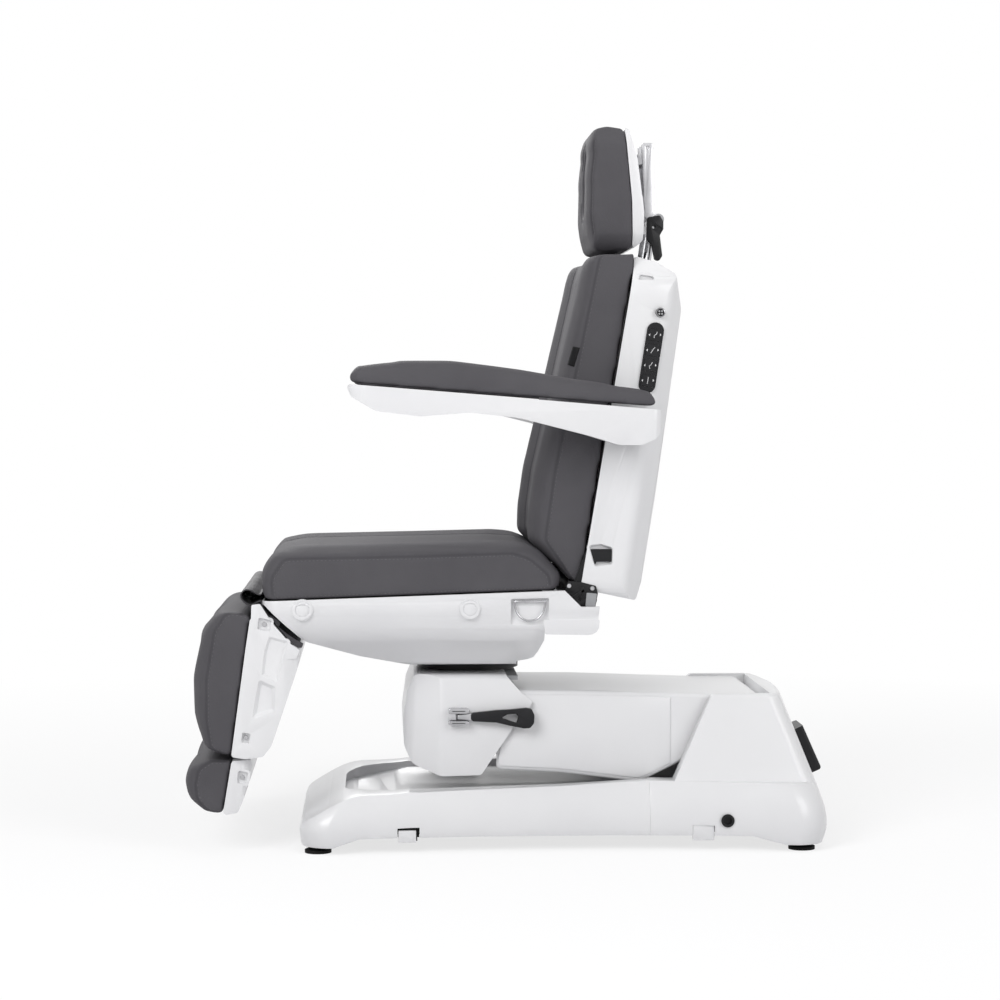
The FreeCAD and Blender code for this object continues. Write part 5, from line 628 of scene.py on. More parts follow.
# How pads and shells lean against each other: crown shares by place, and the shift of the line between them
fits = {
    "seat_cushion": {"crown": ("y", [(-0.52, 1.0), (-0.44, 0.97), (-0.05, 0.955), (0.02, 1.0), (0.09, 1.12)]),
                     "line": ("y", [(-0.5, 0, -0.0195), (0.08, 0, 0)]), "reach": (0.0, 0.015, -0.06, 0.03)},
    "backrest_cushion": {"crown": ("z", [(0.53, 0.97), (0.6, 0.95), (0.7, 0.905), (0.85, 0.855), (1.0, 0.80),
                                         (1.08, 0.77),
                                         (1.15, 0.77)]),
                         "line": ("z", [(0.55, -0.009, 0), (0.85, -0.003, 0), (1.13, 0.005, 0)])},
    "headrest_pad": {"crown": ("z", [(1.18, 0.88), (1.28, 0.88), (1.34, 0.93), (1.39, 1.1)]),
                     "line": ("z", [(1.18, -0.008, 0), (1.39, -0.012, 0)])},
    "leg_cushion": {"crown": ("z", [(0.19, 1.16), (0.25, 1.08), (0.4, 1.08), (0.46, 1.24)]),
                    "line": ("z", [(0.2, 0.005, 0), (0.455, 0.011, 0)])},
    "foot_cushion": {"crown": ("z", [(0.08, 1.2), (0.18, 1.13)]), "line": ("z", [(0.08, -0.004, 0),
                                                                                 (0.18, 0.001, 0)])},
    "armrest_pad_left": {"crown": ("y", [(-0.32, 1.5), (-0.29, 1.12), (-0.24, 0.99), (0.1, 1.0), (0.18, 1.15),
                                         (0.25, 1.6)]),
                         "line": ("y", [(-0.32, 0, 0.003), (0.25, 0, 0.004)]), "reach": (-0.007, 0.014, -0.26, 0.23)},
}
fits["armrest_pad_right"] = fits["armrest_pad_left"]


def leanOn(mesh, pad, behind, ahead, crown=True):    # move a pad, or the rim of its shell, to the line between them
    spots = spotsOf(mesh)
    fit = fits[pad["node"]]
    up = np.array(Vector(pad["up"]).normalized())
    height = (spots - np.array(pad["seat"])) @ up
    if crown:
        along, table = fit["crown"]
        share = np.interp(spots[:, "xyz".index(along)], *np.array(table).T)
        spots += up * (np.maximum(height, 0) * (share - 1))[:, None]
        if "reach" in fit:    # its front and rear ends pushed outward
            front, rear, low, high = fit["reach"]
            lifted = eased(height, 0.002, 0.03)
            spots[:, 1] += front * eased(-spots[:, 1], -low, 0.06 - low) * lifted
            spots[:, 1] += rear * eased(spots[:, 1], high - 0.06, high) * lifted
    along, table = fit["line"]
    place, dy, dz = np.array(table).T
    at = spots[:, "xyz".index(along)]
    weight = np.where(height < 0, 1 - eased(-height, 0.004, behind), 1 - eased(height, 0.006, ahead))
    spots[:, 1] += np.interp(at, place, dy) * weight
    spots[:, 2] += np.interp(at, place, dz) * weight
    setSpots(mesh, spots)


def makePad(name, pad):
    piece = mergedCopy(pad["node"], name)
    remesh = piece.modifiers.new("remesh", "REMESH")
    remesh.mode = "VOXEL"
    remesh.voxel_size = pad["voxel"]
    even = piece.modifiers.new("even", "SMOOTH")
    even.factor = 0.5
    even.iterations = 2
    bake(piece)
    spots = spotsOf(piece.data)
    up = np.array(Vector(pad["up"]).normalized())
    height = (spots - np.array(pad["seat"])) @ up
    free = eased(height, clothLook["held"], clothLook["held"] + clothLook["reach"])
    setSpots(piece.data, spots - outwardOf(piece.data) * (free * pad["slack"])[:, None])
    inflate(piece, free, pad)
    leanOn(piece.data, pad, 0.02, 0.06)
    finer = piece.modifiers.new("finer", "SUBSURF")
    finer.levels = finer.render_levels = 1
    bake(piece)
    piece.data.shade_smooth()
    print(name, len(piece.data.polygons), "faces")
    return piece


def castRow(tree, starts, way):    # where rays from these starts meet a pad
    row = []
    for start in starts:
        place, facing, face, far = tree.ray_cast(Vector(start), Vector(way).normalized())
        if place is not None:
            row.append(np.array(place))
    return row


def pressRows(mesh, rows, wide, deep):
    spots, outward = spotsOf(mesh), outwardOf(mesh)
    near = np.full(len(spots), 1.0)
    for row in rows:
        for first, last in zip(row[:-1], row[1:]):
            run = last - first
            if np.dot(run, run) > 0.03 ** 2 or np.dot(run, run) < 1e-12:
                continue
            low, high = np.minimum(first, last) - 4 * wide, np.maximum(first, last) + 4 * wide
            close = np.nonzero(((spots > low) & (spots < high)).all(axis=1))[0]
            if len(close) == 0:
                continue
            local = spots[close]
            share = np.clip((local - first) @ run / np.dot(run, run), 0, 1)
            near[close] = np.minimum(near[close], np.linalg.norm(local - first - share[:, None] * run, axis=1))
    press = np.exp(-(near / wide) ** 2)
    setSpots(mesh, spots - outward * (deep * press)[:, None])
    # the seam layer holds the groove mask that the leather finish reads to paint shade into the seams
    layer = mesh.attributes.get("seam") or mesh.attributes.new("seam", "FLOAT", "POINT")
    layer.data.foreach_set("value", (0.7 * press).astype(np.float32))
    mesh.update()


def stitchRows(name, body, rows, **sizes):
    verts, edges = [], []
    for row in rows:
        for index, place in enumerate(row):
            if index and np.linalg.norm(place - row[index - 1]) < 0.03:
                edges.append((len(verts) - 1, len(verts)))
            verts.append(tuple(place))
    mesh = bpy.data.meshes.new(name)
    mesh.from_pydata(verts, edges, [])
    piece = growTree(addPiece(name, mesh), stitchTree, {**sizes, "Finish": material["sewingThread"]})
    return dress(piece, "sewingThread", body)


threadBeside = 0.0045    # from a seam to its thread
seamStep = 0.008


def capLoop(node, side):    # the outline of a pad's flat end, in order
    shape = bmesh.new()
    shape.from_mesh(nodes[node].data)
    bmesh.ops.remove_doubles(shape, verts=shape.verts, dist=1e-5)
    far = max(side * vert.co.x for vert in shape.verts)
    cap = {face for face in shape.faces if all(side * vert.co.x > far - 2e-5 for vert in face.verts)}
    rim = {}
    for face in cap:
        for edge in face.edges:
            if sum(other in cap for other in edge.link_faces) == 1:
                for one, two in (edge.verts, reversed(edge.verts)):
                    rim.setdefault(one.index, []).append(two.index)
    shape.verts.ensure_lookup_table()
    first = next(iter(rim))
    order, before = [first], None
    while True:
        onward = [v for v in rim[order[-1]] if v != before]
        if not onward or onward[0] == first:
            break
        before = order[-1]
        order.append(onward[0])
    loop = [shape.verts[index].co.copy() for index in order]
    shape.free()
    return loop


def evenLoop(loop, step, inward):    # points every step along a loop, moved in toward its middle
    flat = [Vector((point.y, point.z)) for point in loop]
    lengths = [(b - a).length for a, b in zip(flat, flat[1:] + flat[:1])]
    total = sum(lengths)
    count = max(8, int(total / step))
    evened, index, walked = [], 0, 0.0
    for number in range(count):
        goal = total * number / count
        while walked + lengths[index] < goal:
            walked += lengths[index]
            index += 1
        share = (goal - walked) / max(lengths[index], 1e-9)
        evened.append(flat[index].lerp(flat[(index + 1) % len(flat)], share))
    return drawnIn(evened, inward)


padObjects = {}
for padName, pad in pads.items():
    padObjects[padName] = makePad(padName, pad)
print("pads blown up")


def fittedLoop(loop, node):
    mesh = bpy.data.meshes.new("loop")
    mesh.from_pydata(loop, [], [])
    leanOn(mesh, next(pad for pad in pads.values() if pad["node"] == node), 0.02, 0.06)
    fitted = [vert.co.copy() for vert in mesh.vertices]
    bpy.data.meshes.remove(mesh)
    return fitted


def sidePath(node, side, inward, keep, shift=0.06):    # starts for a side seam, cast across the chair
    loop = evenLoop(fittedLoop(capLoop(node, side), node), seamStep, inward)
    loop += loop[:1]
    edge = max(abs(v) for v in (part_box(node)[0].x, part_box(node)[1].x))
    kept = [point for point in loop if keep(point)]
    breaks = max(range(len(kept)), key=lambda i: (kept[i] - kept[i - 1]).length)
    kept = kept[breaks:] + kept[:breaks]
    return [(side * (edge + shift), point.x, point.y) for point in kept]


def seamPad(name, body, node, keep, lines, across, inward=0.002, wide=0.003, deep=0.0013):
    piece = padObjects[name]
    tree = rayTree(piece.data)
    rows, threads = [], []
    for side in (1, -1):
        rows.append(castRow(tree, sidePath(node, side, inward, keep), (-side, 0, 0)))
        threads.append(castRow(tree, sidePath(node, side, inward + threadBeside, keep), (-side, 0, 0)))
    for starts, threadStarts in lines:
        rows.append(castRow(tree, starts, across))
        threads.append(castRow(tree, threadStarts, across))
    pressRows(piece.data, [row for row in rows if len(row) > 2], wide, deep)
    tree = rayTree(piece.data)
    settled = [[np.array(tree.find_nearest(Vector(place))[0]) for place in row] for row in threads if len(row) > 2]
    dress(piece, "darkLeather", body, node)
    stitchRows(name + "Stitches", body, settled, Step=0.0075, Long=0.0046, Thick=0.0009)


def lengthLine(x, low, high, step, place):    # matching starts for a seam and for its thread beside it
    count = max(2, int(abs(high - low) / step))
    walk = [low + (high - low) * k / count for k in range(count + 1)]
    shift = math.copysign(threadBeside, x)
    return [place(x, v) for v in walk], [place(x + shift, v) for v in walk]


seatLines = [lengthLine(side * 0.155, -0.478, 0.075, seamStep, lambda x, v: (x, v, 0.72)) for side in (1, -1)]
seamPad("seatPad", "seat", "seat_cushion", lambda p: p.y > 0.4900 + max(0, p.x + 0.5) * 0.0336, seatLines, (0, 0, -1))
backLines = [lengthLine(side * 0.135, 0.545, 1.128, seamStep, lambda x, v: (x, -0.2, v)) for side in (1, -1)]
seamPad("backPad", "back", "backrest_cushion",
        lambda p: p.x < 0.1208 + (p.y - 0.531) * 0.1629 - 0.008, backLines, (0, 1, 0))
legLines = [lengthLine(side * 0.11, 0.2, 0.455, seamStep, lambda x, v: (x, -0.8, v)) for side in (1, -1)]
seamPad("legPad", "leg", "leg_cushion",
        lambda p: p.x < -0.5423 + (p.y - 0.1941) * 0.1375 - 0.008, legLines, (0, 1, 0))
footLines = [lengthLine(side * 0.11, 0.09, 0.172, seamStep, lambda x, v: (x, -0.8, v)) for side in (1, -1)]
seamPad("footPad", "foot", "foot_cushion",
        lambda p: p.x < -0.5593 + (p.y - 0.078) * 0.1555 - 0.008, footLines, (0, 1, 0))


def seamHeadPad():
    piece = padObjects["headPad"]
    tree = rayTree(piece.data)
    rows, threads = [], []
    for side in (1, -1):
        for store, x in ((rows, 0.134), (threads, 0.1385)):
            starts = [(side * x, -0.1, 1.185 + 0.177 * k / 24) for k in range(25)]
            store.append(castRow(tree, starts, (0, 1, 0)))
    for store, grow in ((rows, 0.013), (threads, 0.0175)):    # the ring round the face opening
        ring = []
        for k in range(49):
            turn = 2 * math.pi * k / 48
            tall = math.sin(turn) * (0.032 + grow)
            ring.append((math.cos(turn) * (0.032 + grow), -0.1, 1.290 + tall + math.copysign(0.032, math.sin(turn))))
        store.append(castRow(tree, ring, (0, 1, 0)))
    pressRows(piece.data, rows, 0.0028, 0.0020)
    tree = rayTree(piece.data)
    settled = [[np.array(tree.find_nearest(Vector(place))[0]) for place in row] for row in threads]
    dress(piece, "darkLeather", "headrest", "headrest_pad")
    stitchRows("headPadStitches", "headrest", settled, Step=0.006, Long=0.0038, Thick=0.0008)


seamHeadPad()
for side in ("Left", "Right"):
    piece = padObjects["armPad" + side]
    dress(piece, "darkLeather", "arm_" + side.lower(), "armrest_pad_" + side.lower())
print("pads seamed")


# Knee flap: a leatherette strip rolled between the seat and the leg rest
flap = {
    "half": 0.276, "thick": 0.0022, "across": 56, "along": 56,
    "roll": [(-0.4840, 0.4965), (-0.4890, 0.4955), (-0.4960, 0.4990), (-0.5045, 0.5035), (-0.5131, 0.5050),
             (-0.5200, 0.5015), (-0.5232, 0.4950), (-0.5215, 0.4880), (-0.5150, 0.4812), (-0.5055, 0.4768),
             (-0.4985, 0.4785), (-0.4920, 0.4818), (-0.4850, 0.4842)],
    "tongue": [(-0.4850, 0.4842), (-0.4835, 0.4755), (-0.4774, 0.4645), (-0.4684, 0.4532), (-0.4594, 0.4410),
               (-0.4505, 0.4312), (-0.4385, 0.4180), (-0.4260, 0.4060), (-0.4150, 0.3980)],
    "tabs": [[(-0.4690, 0.4545), (-0.4680, 0.4565), (-0.4564, 0.4488), (-0.4497, 0.4425), (-0.4504, 0.4365),
              (-0.4560, 0.4373)],
             [(-0.4500, 0.4300), (-0.4490, 0.4320), (-0.4355, 0.4206), (-0.4205, 0.4107), (-0.4062, 0.4023),
              (-0.4085, 0.3955), (-0.4145, 0.3948), (-0.4250, 0.4016), (-0.4385, 0.4168)]],
}


def smoothLine(corners, count):    # an even curve through the corners
    ends = [2 * np.array(corners[0]) - np.array(corners[1])] + [np.array(c) for c in corners]
    ends.append(2 * ends[-1] - ends[-2])
    dense = []
    for index in range(1, len(ends) - 2):
        a, b, c, d = ends[index - 1:index + 3]
        for t in np.linspace(0, 1, 12, endpoint=False):
            dense.append(0.5 * (2 * b + (c - a) * t + (2 * a - 5 * b + 4 * c - d) * t * t
                                + (3 * b - a - 3 * c + d) * t ** 3))
    dense.append(ends[-2])
    dense = np.array(dense)
    far = np.concatenate([[0], np.cumsum(np.linalg.norm(np.diff(dense, axis=0), axis=1))])
    goals = np.linspace(0, far[-1], count)
    return np.stack([np.interp(goals, far, dense[:, k]) for k in (0, 1)], axis=1), far[-1]


def makeStrip(name, corners, wave):
    line, length = smoothLine(corners, flap["along"])
    verts, faces = [], []
    count = flap["across"]
    for i in range(count + 1):
        x = -flap["half"] + 2 * flap["half"] * i / count
        for k, (y, z) in enumerate(line):
            share = k / (len(line) - 1)
            folds = math.sin(x * 31 + share * 2.2) + 0.6 * math.sin(x * 67 - share * 3)
            ripple = wave * math.sin(math.pi * share) * folds
            verts.append((x, y + ripple * 0.6, z + ripple))
    rows = len(line)
    for i in range(count):
        for k in range(rows - 1):
            a = i * rows + k
            faces.append((a, a + rows, a + rows + 1, a + 1))
    mesh = bpy.data.meshes.new(name)
    mesh.from_pydata(verts, [], faces)
    piece = addPiece(name, mesh)
    wall = piece.modifiers.new("wall", "SOLIDIFY")
    wall.thickness = flap["thick"]
    wall.offset = 0
    bake(piece)
    piece.data.shade_smooth()
    return piece, length


kneeRoll, rollLength = makeStrip("kneeRoll", flap["roll"], 0.0010)
dress(kneeRoll, "darkStrip", None, "knee_flap")
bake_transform(kneeRoll)
kneeTongue, tongueLength = makeStrip("kneeTongue", flap["tongue"], 0.0004)
dress(kneeTongue, "darkStrip", "seat")
for index, tab in enumerate(flap["tabs"]):
    for label, side in (("Left", 1), ("Right", -1)):
        outline = roundOff([Vector(corner) for corner in tab], 0.0012)
        tabPiece = sidePlug("kneeTab" + str(index) + label, outline, outline, side * 0.266, side * 0.2785)
        tabPiece.data.shade_smooth()
        shadeByAngle(tabPiece.data)
        dress(tabPiece, "darkStrip", "seat")
print("knee flap made")


# Moulded shells: pockets, sunk panels and softened edges
def sideSkin(tree, corners):    # how far out the side of a shell stands round these corners
    around = drawnIn([Vector(corner) for corner in corners], -0.006)
    hits = [tree.ray_cast(Vector((1, spot.x, spot.y)), Vector((-1, 0, 0)))[0] for spot in around]
    return float(np.median([hit.x for hit in hits if hit is not None and hit.x > 0.2]))


def bothSides(name, corners, turn, outer, depth, narrowed, skin=0.004):
    corners = [Vector(corner) for corner in corners]
    floor = roundOff(drawnIn(corners, narrowed), max(0.0008, turn - narrowed * 0.5))
    mouth = roundOff(corners, turn)
    wider = roundOff(drawnIn(corners, -skin), turn + skin)
    beds, cuts = [], []
    for side in (1, -1):
        beds.append(sidePlug(name + "Bed", wider, wider, side * (outer - skin * 0.55), side * (outer - depth - skin)))
        cuts.append(sidePlug(name + "Cut", mouth, floor, side * (outer + 0.0005), side * (outer - depth)))
    return beds, cuts


shellPockets = {
    "backShell": {
        "node": "backrest_shell", "body": "back", "against": "backPad", "pockets": [
            ("grip", [(0.1325, 0.5880), (0.1440, 0.5470), (0.1790, 0.5510), (0.1800, 0.5830),
                      (0.1560, 0.5905)], 0.006,
             0.010, 0.004),
            ("hook", [(0.2290, 1.1010), (0.2270, 1.0790), (0.2560, 1.0760), (0.2585, 1.0960)], 0.005, 0.008, 0.003)],
    },
    "seatShell": {
        "node": "seat_shell", "body": "seat", "against": "seatPad", "filledAt": (0.2990, 0.2862),
        "filled": [[(0.0460, 0.4480), (0.1530, 0.4480), (0.1515, 0.4325), (0.1474, 0.4249), (0.1399, 0.4204),
                    (0.1304, 0.4189), (0.0500, 0.4205)]],
        "cutAway": [[(0.0549, 0.4188), (0.0400, 0.3838), (0.0320, 0.3704), (0.0205, 0.3655), (0.0, 0.3620),
                     (0.0, 0.3400),
                     (0.0900, 0.3400), (0.0900, 0.4188)]],
        "pockets": []},
    "legShell": {
        "node": "leg_shell", "body": "leg", "against": "legPad", "filledAt": (0.288, 0.2835),
        "filled": [[(-0.5030, 0.4770), (-0.4870, 0.4790), (-0.4800, 0.4680), (-0.4684, 0.4495), (-0.4594, 0.4375),
                    (-0.4505, 0.4275), (-0.4385, 0.4135), (-0.4250, 0.3985), (-0.4115, 0.3915), (-0.4200, 0.3750),
                    (-0.5060, 0.3750)]], "pockets": [
            ("screwHigh", [(-0.4900, 0.4540), (-0.4925, 0.4300), (-0.4670, 0.4270),
                           (-0.4650, 0.4480)], 0.004, 0.009, 0.002),
            ("panelHigh", [(-0.4700, 0.4180), (-0.4330, 0.4080), (-0.4400, 0.3860), (-0.4545, 0.3300),
                           (-0.4850, 0.3440), (-0.4795, 0.3900)], 0.004, 0.006, 0.005),
            ("panelLow", [(-0.4900, 0.3370), (-0.4580, 0.3225), (-0.4590, 0.2760), (-0.5030, 0.2610),
                          (-0.4960, 0.3050)], 0.004, 0.009, 0.007),
            ("screwLow", [(-0.5210, 0.2370), (-0.5235, 0.2170), (-0.5080, 0.2150), (-0.5050, 0.2340)], 0.003, 0.009,
             0.002)],
    },
    "footShell": {
        "node": "foot_shell", "body": "foot", "against": "footPad", "pockets": [
            ("screwFoot", [(-0.5300, 0.1630), (-0.5330, 0.1380), (-0.5140, 0.1350), (-0.5100, 0.1580)], 0.004, 0.009,
             0.002)],
    },
}


def plainShells():
    plain = {
        "headShell": ("headrest_shell", "headrest", 0.0016, "headPad"),
        "armShellLeft": ("armrest_shell_left", "arm_left", 0.0016, None),
        "armShellRight": ("armrest_shell_right", "arm_right", 0.0016, None),
        "frontCover": ("base_front_cover", "base", 0.002, None),
        "rearCover": ("base_rear_cover", "base", 0.002, None),
        "armCover": ("lift_arm_cover", "lift_arm", 0.002, None),
        "sidePanels": ("lift_arm_side_panels", "lift_arm", 0.0008, None),
        "liftHead": ("head_housing", "head", 0.002, None),
    }
    for name, (node, body, edge, against) in plain.items():
        piece = dressShell(node, name, edge=edge, against=against)
        dress(piece, "paleShell", body, node)
        print(name, len(piece.data.polygons), "faces")


for shellName, shell in shellPockets.items():
    beds, cuts = [], []
    for corners in shell.get("filled", []):
        outline = roundOff([Vector(corner) for corner in corners], 0.003)
        outer, inner = shell["filledAt"]
        beds += [sidePlug(shellName + "Fill", outline, outline, side * outer, side * inner) for side in (1, -1)]
    for corners in shell.get("cutAway", []):
        outline = roundOff([Vector(corner) for corner in corners], 0.003)
        cuts.append(sidePlug(shellName + "Away", outline, outline, -0.32, 0.32))
    tree = rayTree(nodes[shell["node"]].data)
    for label, corners, turn, depth, narrowed in shell["pockets"]:
        outer = sideSkin(tree, corners)
        print(shellName, label, round(outer, 4))
        newBeds, newCuts = bothSides(shellName + label, corners, turn, outer, depth, narrowed)
        beds += newBeds
        cuts += newCuts
    piece = dressShell(shell["node"], shellName, beds, cuts, against=shell["against"])
    dress(piece, "paleShell", shell["body"], shell["node"])
    print(shellName, len(piece.data.polygons), "faces")
plainShells()
print("shells dressed")


# Screws in the pockets and on the metalwork
smallScrew = {"Round": 0.0045, "Crown": 0.0038, "Tall": 0.003, "Socket": 0.002}
for side, sign in (("Left", 1), ("Right", -1)):
    addScrews("legScrews" + side, "leg", [((sign * 0.2800, -0.4795, 0.4400), (sign, 0, 0)),
                                          ((sign * 0.2800, -0.5145, 0.2260), (sign, 0, 0))],
              **smallScrew)
    addScrews("footScrews" + side, "foot", [((sign * 0.2640, -0.5220, 0.1490), (sign, 0, 0))],
              **smallScrew)
    addScrews("hingeBolts" + side, "seat", [((sign * 0.2620, 0.1060, 0.4930), (sign, 0, 0))], finish="blackPaint",
              Round=0.0085, Crown=0.0072, Tall=0.006, Socket=0.0035)
print("screws placed")


# Keypad marks: two small arrows and a plain reclining line on each rocker
keypad = {"lean": math.atan(0.1563), "y": 0.251, "z": 0.942, "step": 0.029, "face": 0.2856, "lift": 0.00025,
          "size": 1.25}


def addMarks(name, body, middle, line, arrows):
    verts, faces = [], []

    def patch(corners):
        base = len(verts)
        for x in (keypad["face"] - 0.0002, keypad["face"] + keypad["lift"]):
            for across, up in corners:
                across, up = across * keypad["size"], up * keypad["size"]
                y = middle[0] + across * math.cos(keypad["lean"]) + up * math.sin(keypad["lean"])
                z = middle[1] - across * math.sin(keypad["lean"]) + up * math.cos(keypad["lean"])
                verts.append((x, y, z))
        count = len(corners)
        faces.append(tuple(range(base, base + count)))
        faces.append(tuple(range(base + 2 * count - 1, base + count - 1, -1)))
        for k in range(count):
            after = (k + 1) % count
            faces.append((base + k, base + after, base + count + after, base + count + k))

    for (a, b), (c, d) in zip(line, line[1:]):
        way = Vector((c - a, d - b)).normalized() * 0.00042
        patch([(a - way.y, b + way.x), (a + way.y, b - way.x), (c + way.y, d - way.x), (c - way.y, d + way.x)])
    for across, up, size in arrows:
        patch([(across, up + abs(size)), (across + size, up), (across, up - abs(size))])
    mesh = bpy.data.meshes.new(name)
    mesh.from_pydata(verts, [], faces)
    faceOutward(mesh)
    dress(addPiece(name, mesh), "paleInk", body)


chairLines = {
    "tilt": [(0.0, -0.0052), (0.0, 0.0052)],
    "leg": [(0.0026, 0.0050), (0.0012, 0.0012), (-0.0014, -0.0014), (0.0002, -0.0052)],
    "back": [(0.0030, 0.0048), (0.0008, 0.0014), (-0.0006, -0.0018), (-0.0022, -0.0050)],
    "height": [(0.0028, 0.0052), (0.0022, 0.0016), (-0.0010, -0.0012), (-0.0004, -0.0050)],
}
for index, keyName in enumerate(("tilt", "leg", "back", "height")):
    up = (index - 1.5) * keypad["step"]
    middle = (keypad["y"] + up * math.sin(keypad["lean"]), keypad["z"] + up * math.cos(keypad["lean"]))
    addMarks("keyMarks" + keyName.title(), "key_" + keyName, middle, chairLines[keyName],
             [(-0.0074, -0.0012, -0.0021), (0.0074, 0.0012, 0.0021)])
print("keypad marked")


# Turned parts: a profile of (out, round) steps spun about a cross axis
def turnedPart(name, profile, centre, side, steps=40):
    verts, faces = [], []
    for out, reach in profile:
        for k in range(steps):
            turn = 2 * math.pi * k / steps
            verts.append((side * out, centre[0] + reach * math.cos(turn), centre[1] + reach * math.sin(turn)))
    for row in range(len(profile) - 1):
        for k in range(steps):
            first, after = row * steps + k, row * steps + (k + 1) % steps
            faces.append((first, after, after + steps, first + steps))
    mesh = bpy.data.meshes.new(name)
    mesh.from_pydata(verts, [], faces)
    faceOutward(mesh, merged=1e-6)
    shadeByAngle(mesh, 40)
    return addPiece(name, mesh)


capSteps = [(0.294, 0.0), (0.294, 0.0205), (0.3008, 0.0205), (0.3018, 0.0195), (0.3018, 0.0165), (0.3006, 0.0155),
            (0.3006, 0.0138), (0.3022, 0.0126), (0.3022, 0.0112), (0.3008, 0.0102), (0.3008, 0.0)]
for label, side in (("Left", 1), ("Right", -1)):
    for index, centre in enumerate([(-0.4070, 0.4680), (-0.0920, 0.4700)]):
        dress(turnedPart("seatCap" + str(index) + label, capSteps, centre, side), "paleShell", "seat")
ringSteps = [(0.2885, 0.0086), (0.2899, 0.0084), (0.2901, 0.0074), (0.2892, 0.0068), (0.2885, 0.0068)]
dress(turnedPart("buttonRing", ringSteps, (0.268, 1.027), 1), "polishedChrome", "button")
for index in range(4):
    turn = math.pi / 4 + index * math.pi / 2
    petal = (0.268 + 0.0036 * math.cos(turn), 1.027 + 0.0036 * math.sin(turn))
    petalSteps = [(0.2885, 0.0), (0.2885, 0.0021), (0.2899, 0.0017), (0.2900, 0.0)]
    dress(turnedPart("buttonPetal" + str(index), petalSteps, petal, 1, 16), "polishedChrome", "button")
print("caps and button turned")


# Plates cut across the chair: headrest bars and lever, lock handle and clevis, hinge brackets, base notches
def makePlate(name, corners, turn, x0, x1, finish, body, holes=(), windows=(), edge=0.0012, replaced=()):
    outline = roundOff([Vector(corner) for corner in corners], turn)
    piece = sidePlug(name, outline, outline, x0, x1)
    rings = [roundOff([Vector(corner) for corner in window], 0.002) for window in windows]
    for place, reach in holes:
        rings.append([Vector(place) + Vector((math.cos(k * math.pi / 12), math.sin(k * math.pi / 12))) * reach
                      for k in range(24)])
    for ring in rings:
        drill = sidePlug(name + "Hole", ring, ring, min(x0, x1) - 0.01, max(x0, x1) + 0.01)
        step = piece.modifiers.new("hole", "BOOLEAN")
        step.object = drill
        step.solver = "EXACT"
        bake(piece)
        bpy.data.objects.remove(drill)
    soften(piece, edge, 40)
    return dress(piece, finish, body, *replaced)


barOutline = [(0.2556, 1.3690), (0.2785, 1.3690), (0.2815, 1.2340), (0.2950, 1.2240), (0.2950, 1.2070),
              (0.2760, 1.2060),
              (0.2620, 1.2240)]
lugOutline = [(0.2480, 1.3480), (0.2650, 1.3480), (0.2650, 1.3280), (0.2470, 1.3260)]
lowLugOutline = [(0.2490, 1.2660), (0.2660, 1.2660), (0.2660, 1.2440), (0.2490, 1.2440)]
for label, side in (("Left", 1), ("Right", -1)):
    replaced = ("headrest_bracket",) if side == 1 else ()
    makePlate("headBar" + label, barOutline, 0.004, side * 0.0375, side * 0.0420, "brushedSteel", "headrest",
              [((0.2672, 1.3590), 0.0030)], replaced=replaced)
    makePlate("headLugHigh" + label, lugOutline, 0.002, side * 0.0300, side * 0.0375, "brushedSteel", "headrest")
    makePlate("headLugLow" + label, lowLugOutline, 0.002, side * 0.0300, side * 0.0375, "brushedSteel", "headrest")
backOfBar = [(0.2745, 1.3650), (0.2785, 1.3650), (0.2812, 1.2400), (0.2770, 1.2400)]
makePlate("headBarWeb", backOfBar, 0.001, -0.0375, 0.0375, "brushedSteel", "headrest")
leverOutline = [(0.2615, 1.2190), (0.2870, 1.2235), (0.2935, 1.2110), (0.2935, 1.1960), (0.2865, 1.1840),
                (0.2915, 1.1440),
                (0.2850, 1.1335), (0.2760, 1.1360), (0.2700, 1.1650), (0.2600, 1.1750)]
makePlate("headLever", leverOutline, 0.0055, 0.0845, 0.0985, "blackPlastic", "clamp_lever",
          [((0.2745, 1.2000), 0.0030)], edge=0.0024, replaced=("headrest_lever",))
handleOutline = [(-0.0869, 0.2611), (-0.0388, 0.2659), (-0.0118, 0.2673), (0.0190, 0.2702), (0.0298, 0.2682),
                 (0.0351, 0.2566), (0.0344, 0.2411), (0.0267, 0.2315), (0.0151, 0.2310), (-0.0118, 0.2364),
                 (-0.0388, 0.2427), (-0.0869, 0.2453)]
handleWindow = [(-0.0292, 0.2511), (-0.0176, 0.2580), (-0.0003, 0.2595), (0.0036, 0.2529), (0.0005, 0.2413),
                (-0.0138, 0.2460)]
makePlate("lockHandle", handleOutline, 0.006, 0.1945, 0.2055, "blackPlastic", "lock_lever", edge=0.0022,
          windows=[handleWindow], replaced=("swivel_lock_lever",))
makePlate("lockEye", [(-0.1130, 0.2570), (-0.0850, 0.2600), (-0.0850, 0.2465), (-0.1130, 0.2490)],
          0.003, 0.1965, 0.2035, "polishedChrome", "lock_lever")
for label, low, high in (("High", 0.2600, 0.2700), ("Low", 0.2380, 0.2460)):
    jaw = [(-0.1300, low + 0.001), (-0.1250, low), (-0.0960, low), (-0.0905, low + 0.002), (-0.0905, high - 0.002),
           (-0.0960, high), (-0.1250, high), (-0.1300, high - 0.001)]
    makePlate("clevisJaw" + label, jaw, 0.002, 0.1883, 0.2080, "polishedChrome", "head",
              replaced=("lock_clevis",) if label == "High" else ())
makePlate("clevisRoot", [(-0.1300, 0.2470), (-0.1300, 0.2600), (-0.1160, 0.2600), (-0.1160, 0.2470)],
          0.001, 0.1883, 0.2020, "brushedSteel", "head", edge=0.0006)
for label, low, high in (("High", 0.2643, 0.2657), ("Low", 0.2412, 0.2424)):
    makePlate("clevisGroove" + label, [(-0.1230, low), (-0.0980, low), (-0.0980, high), (-0.1230, high)], 0.0004,
              0.2070, 0.2084, "blackRubber", "head", edge=0.0002)
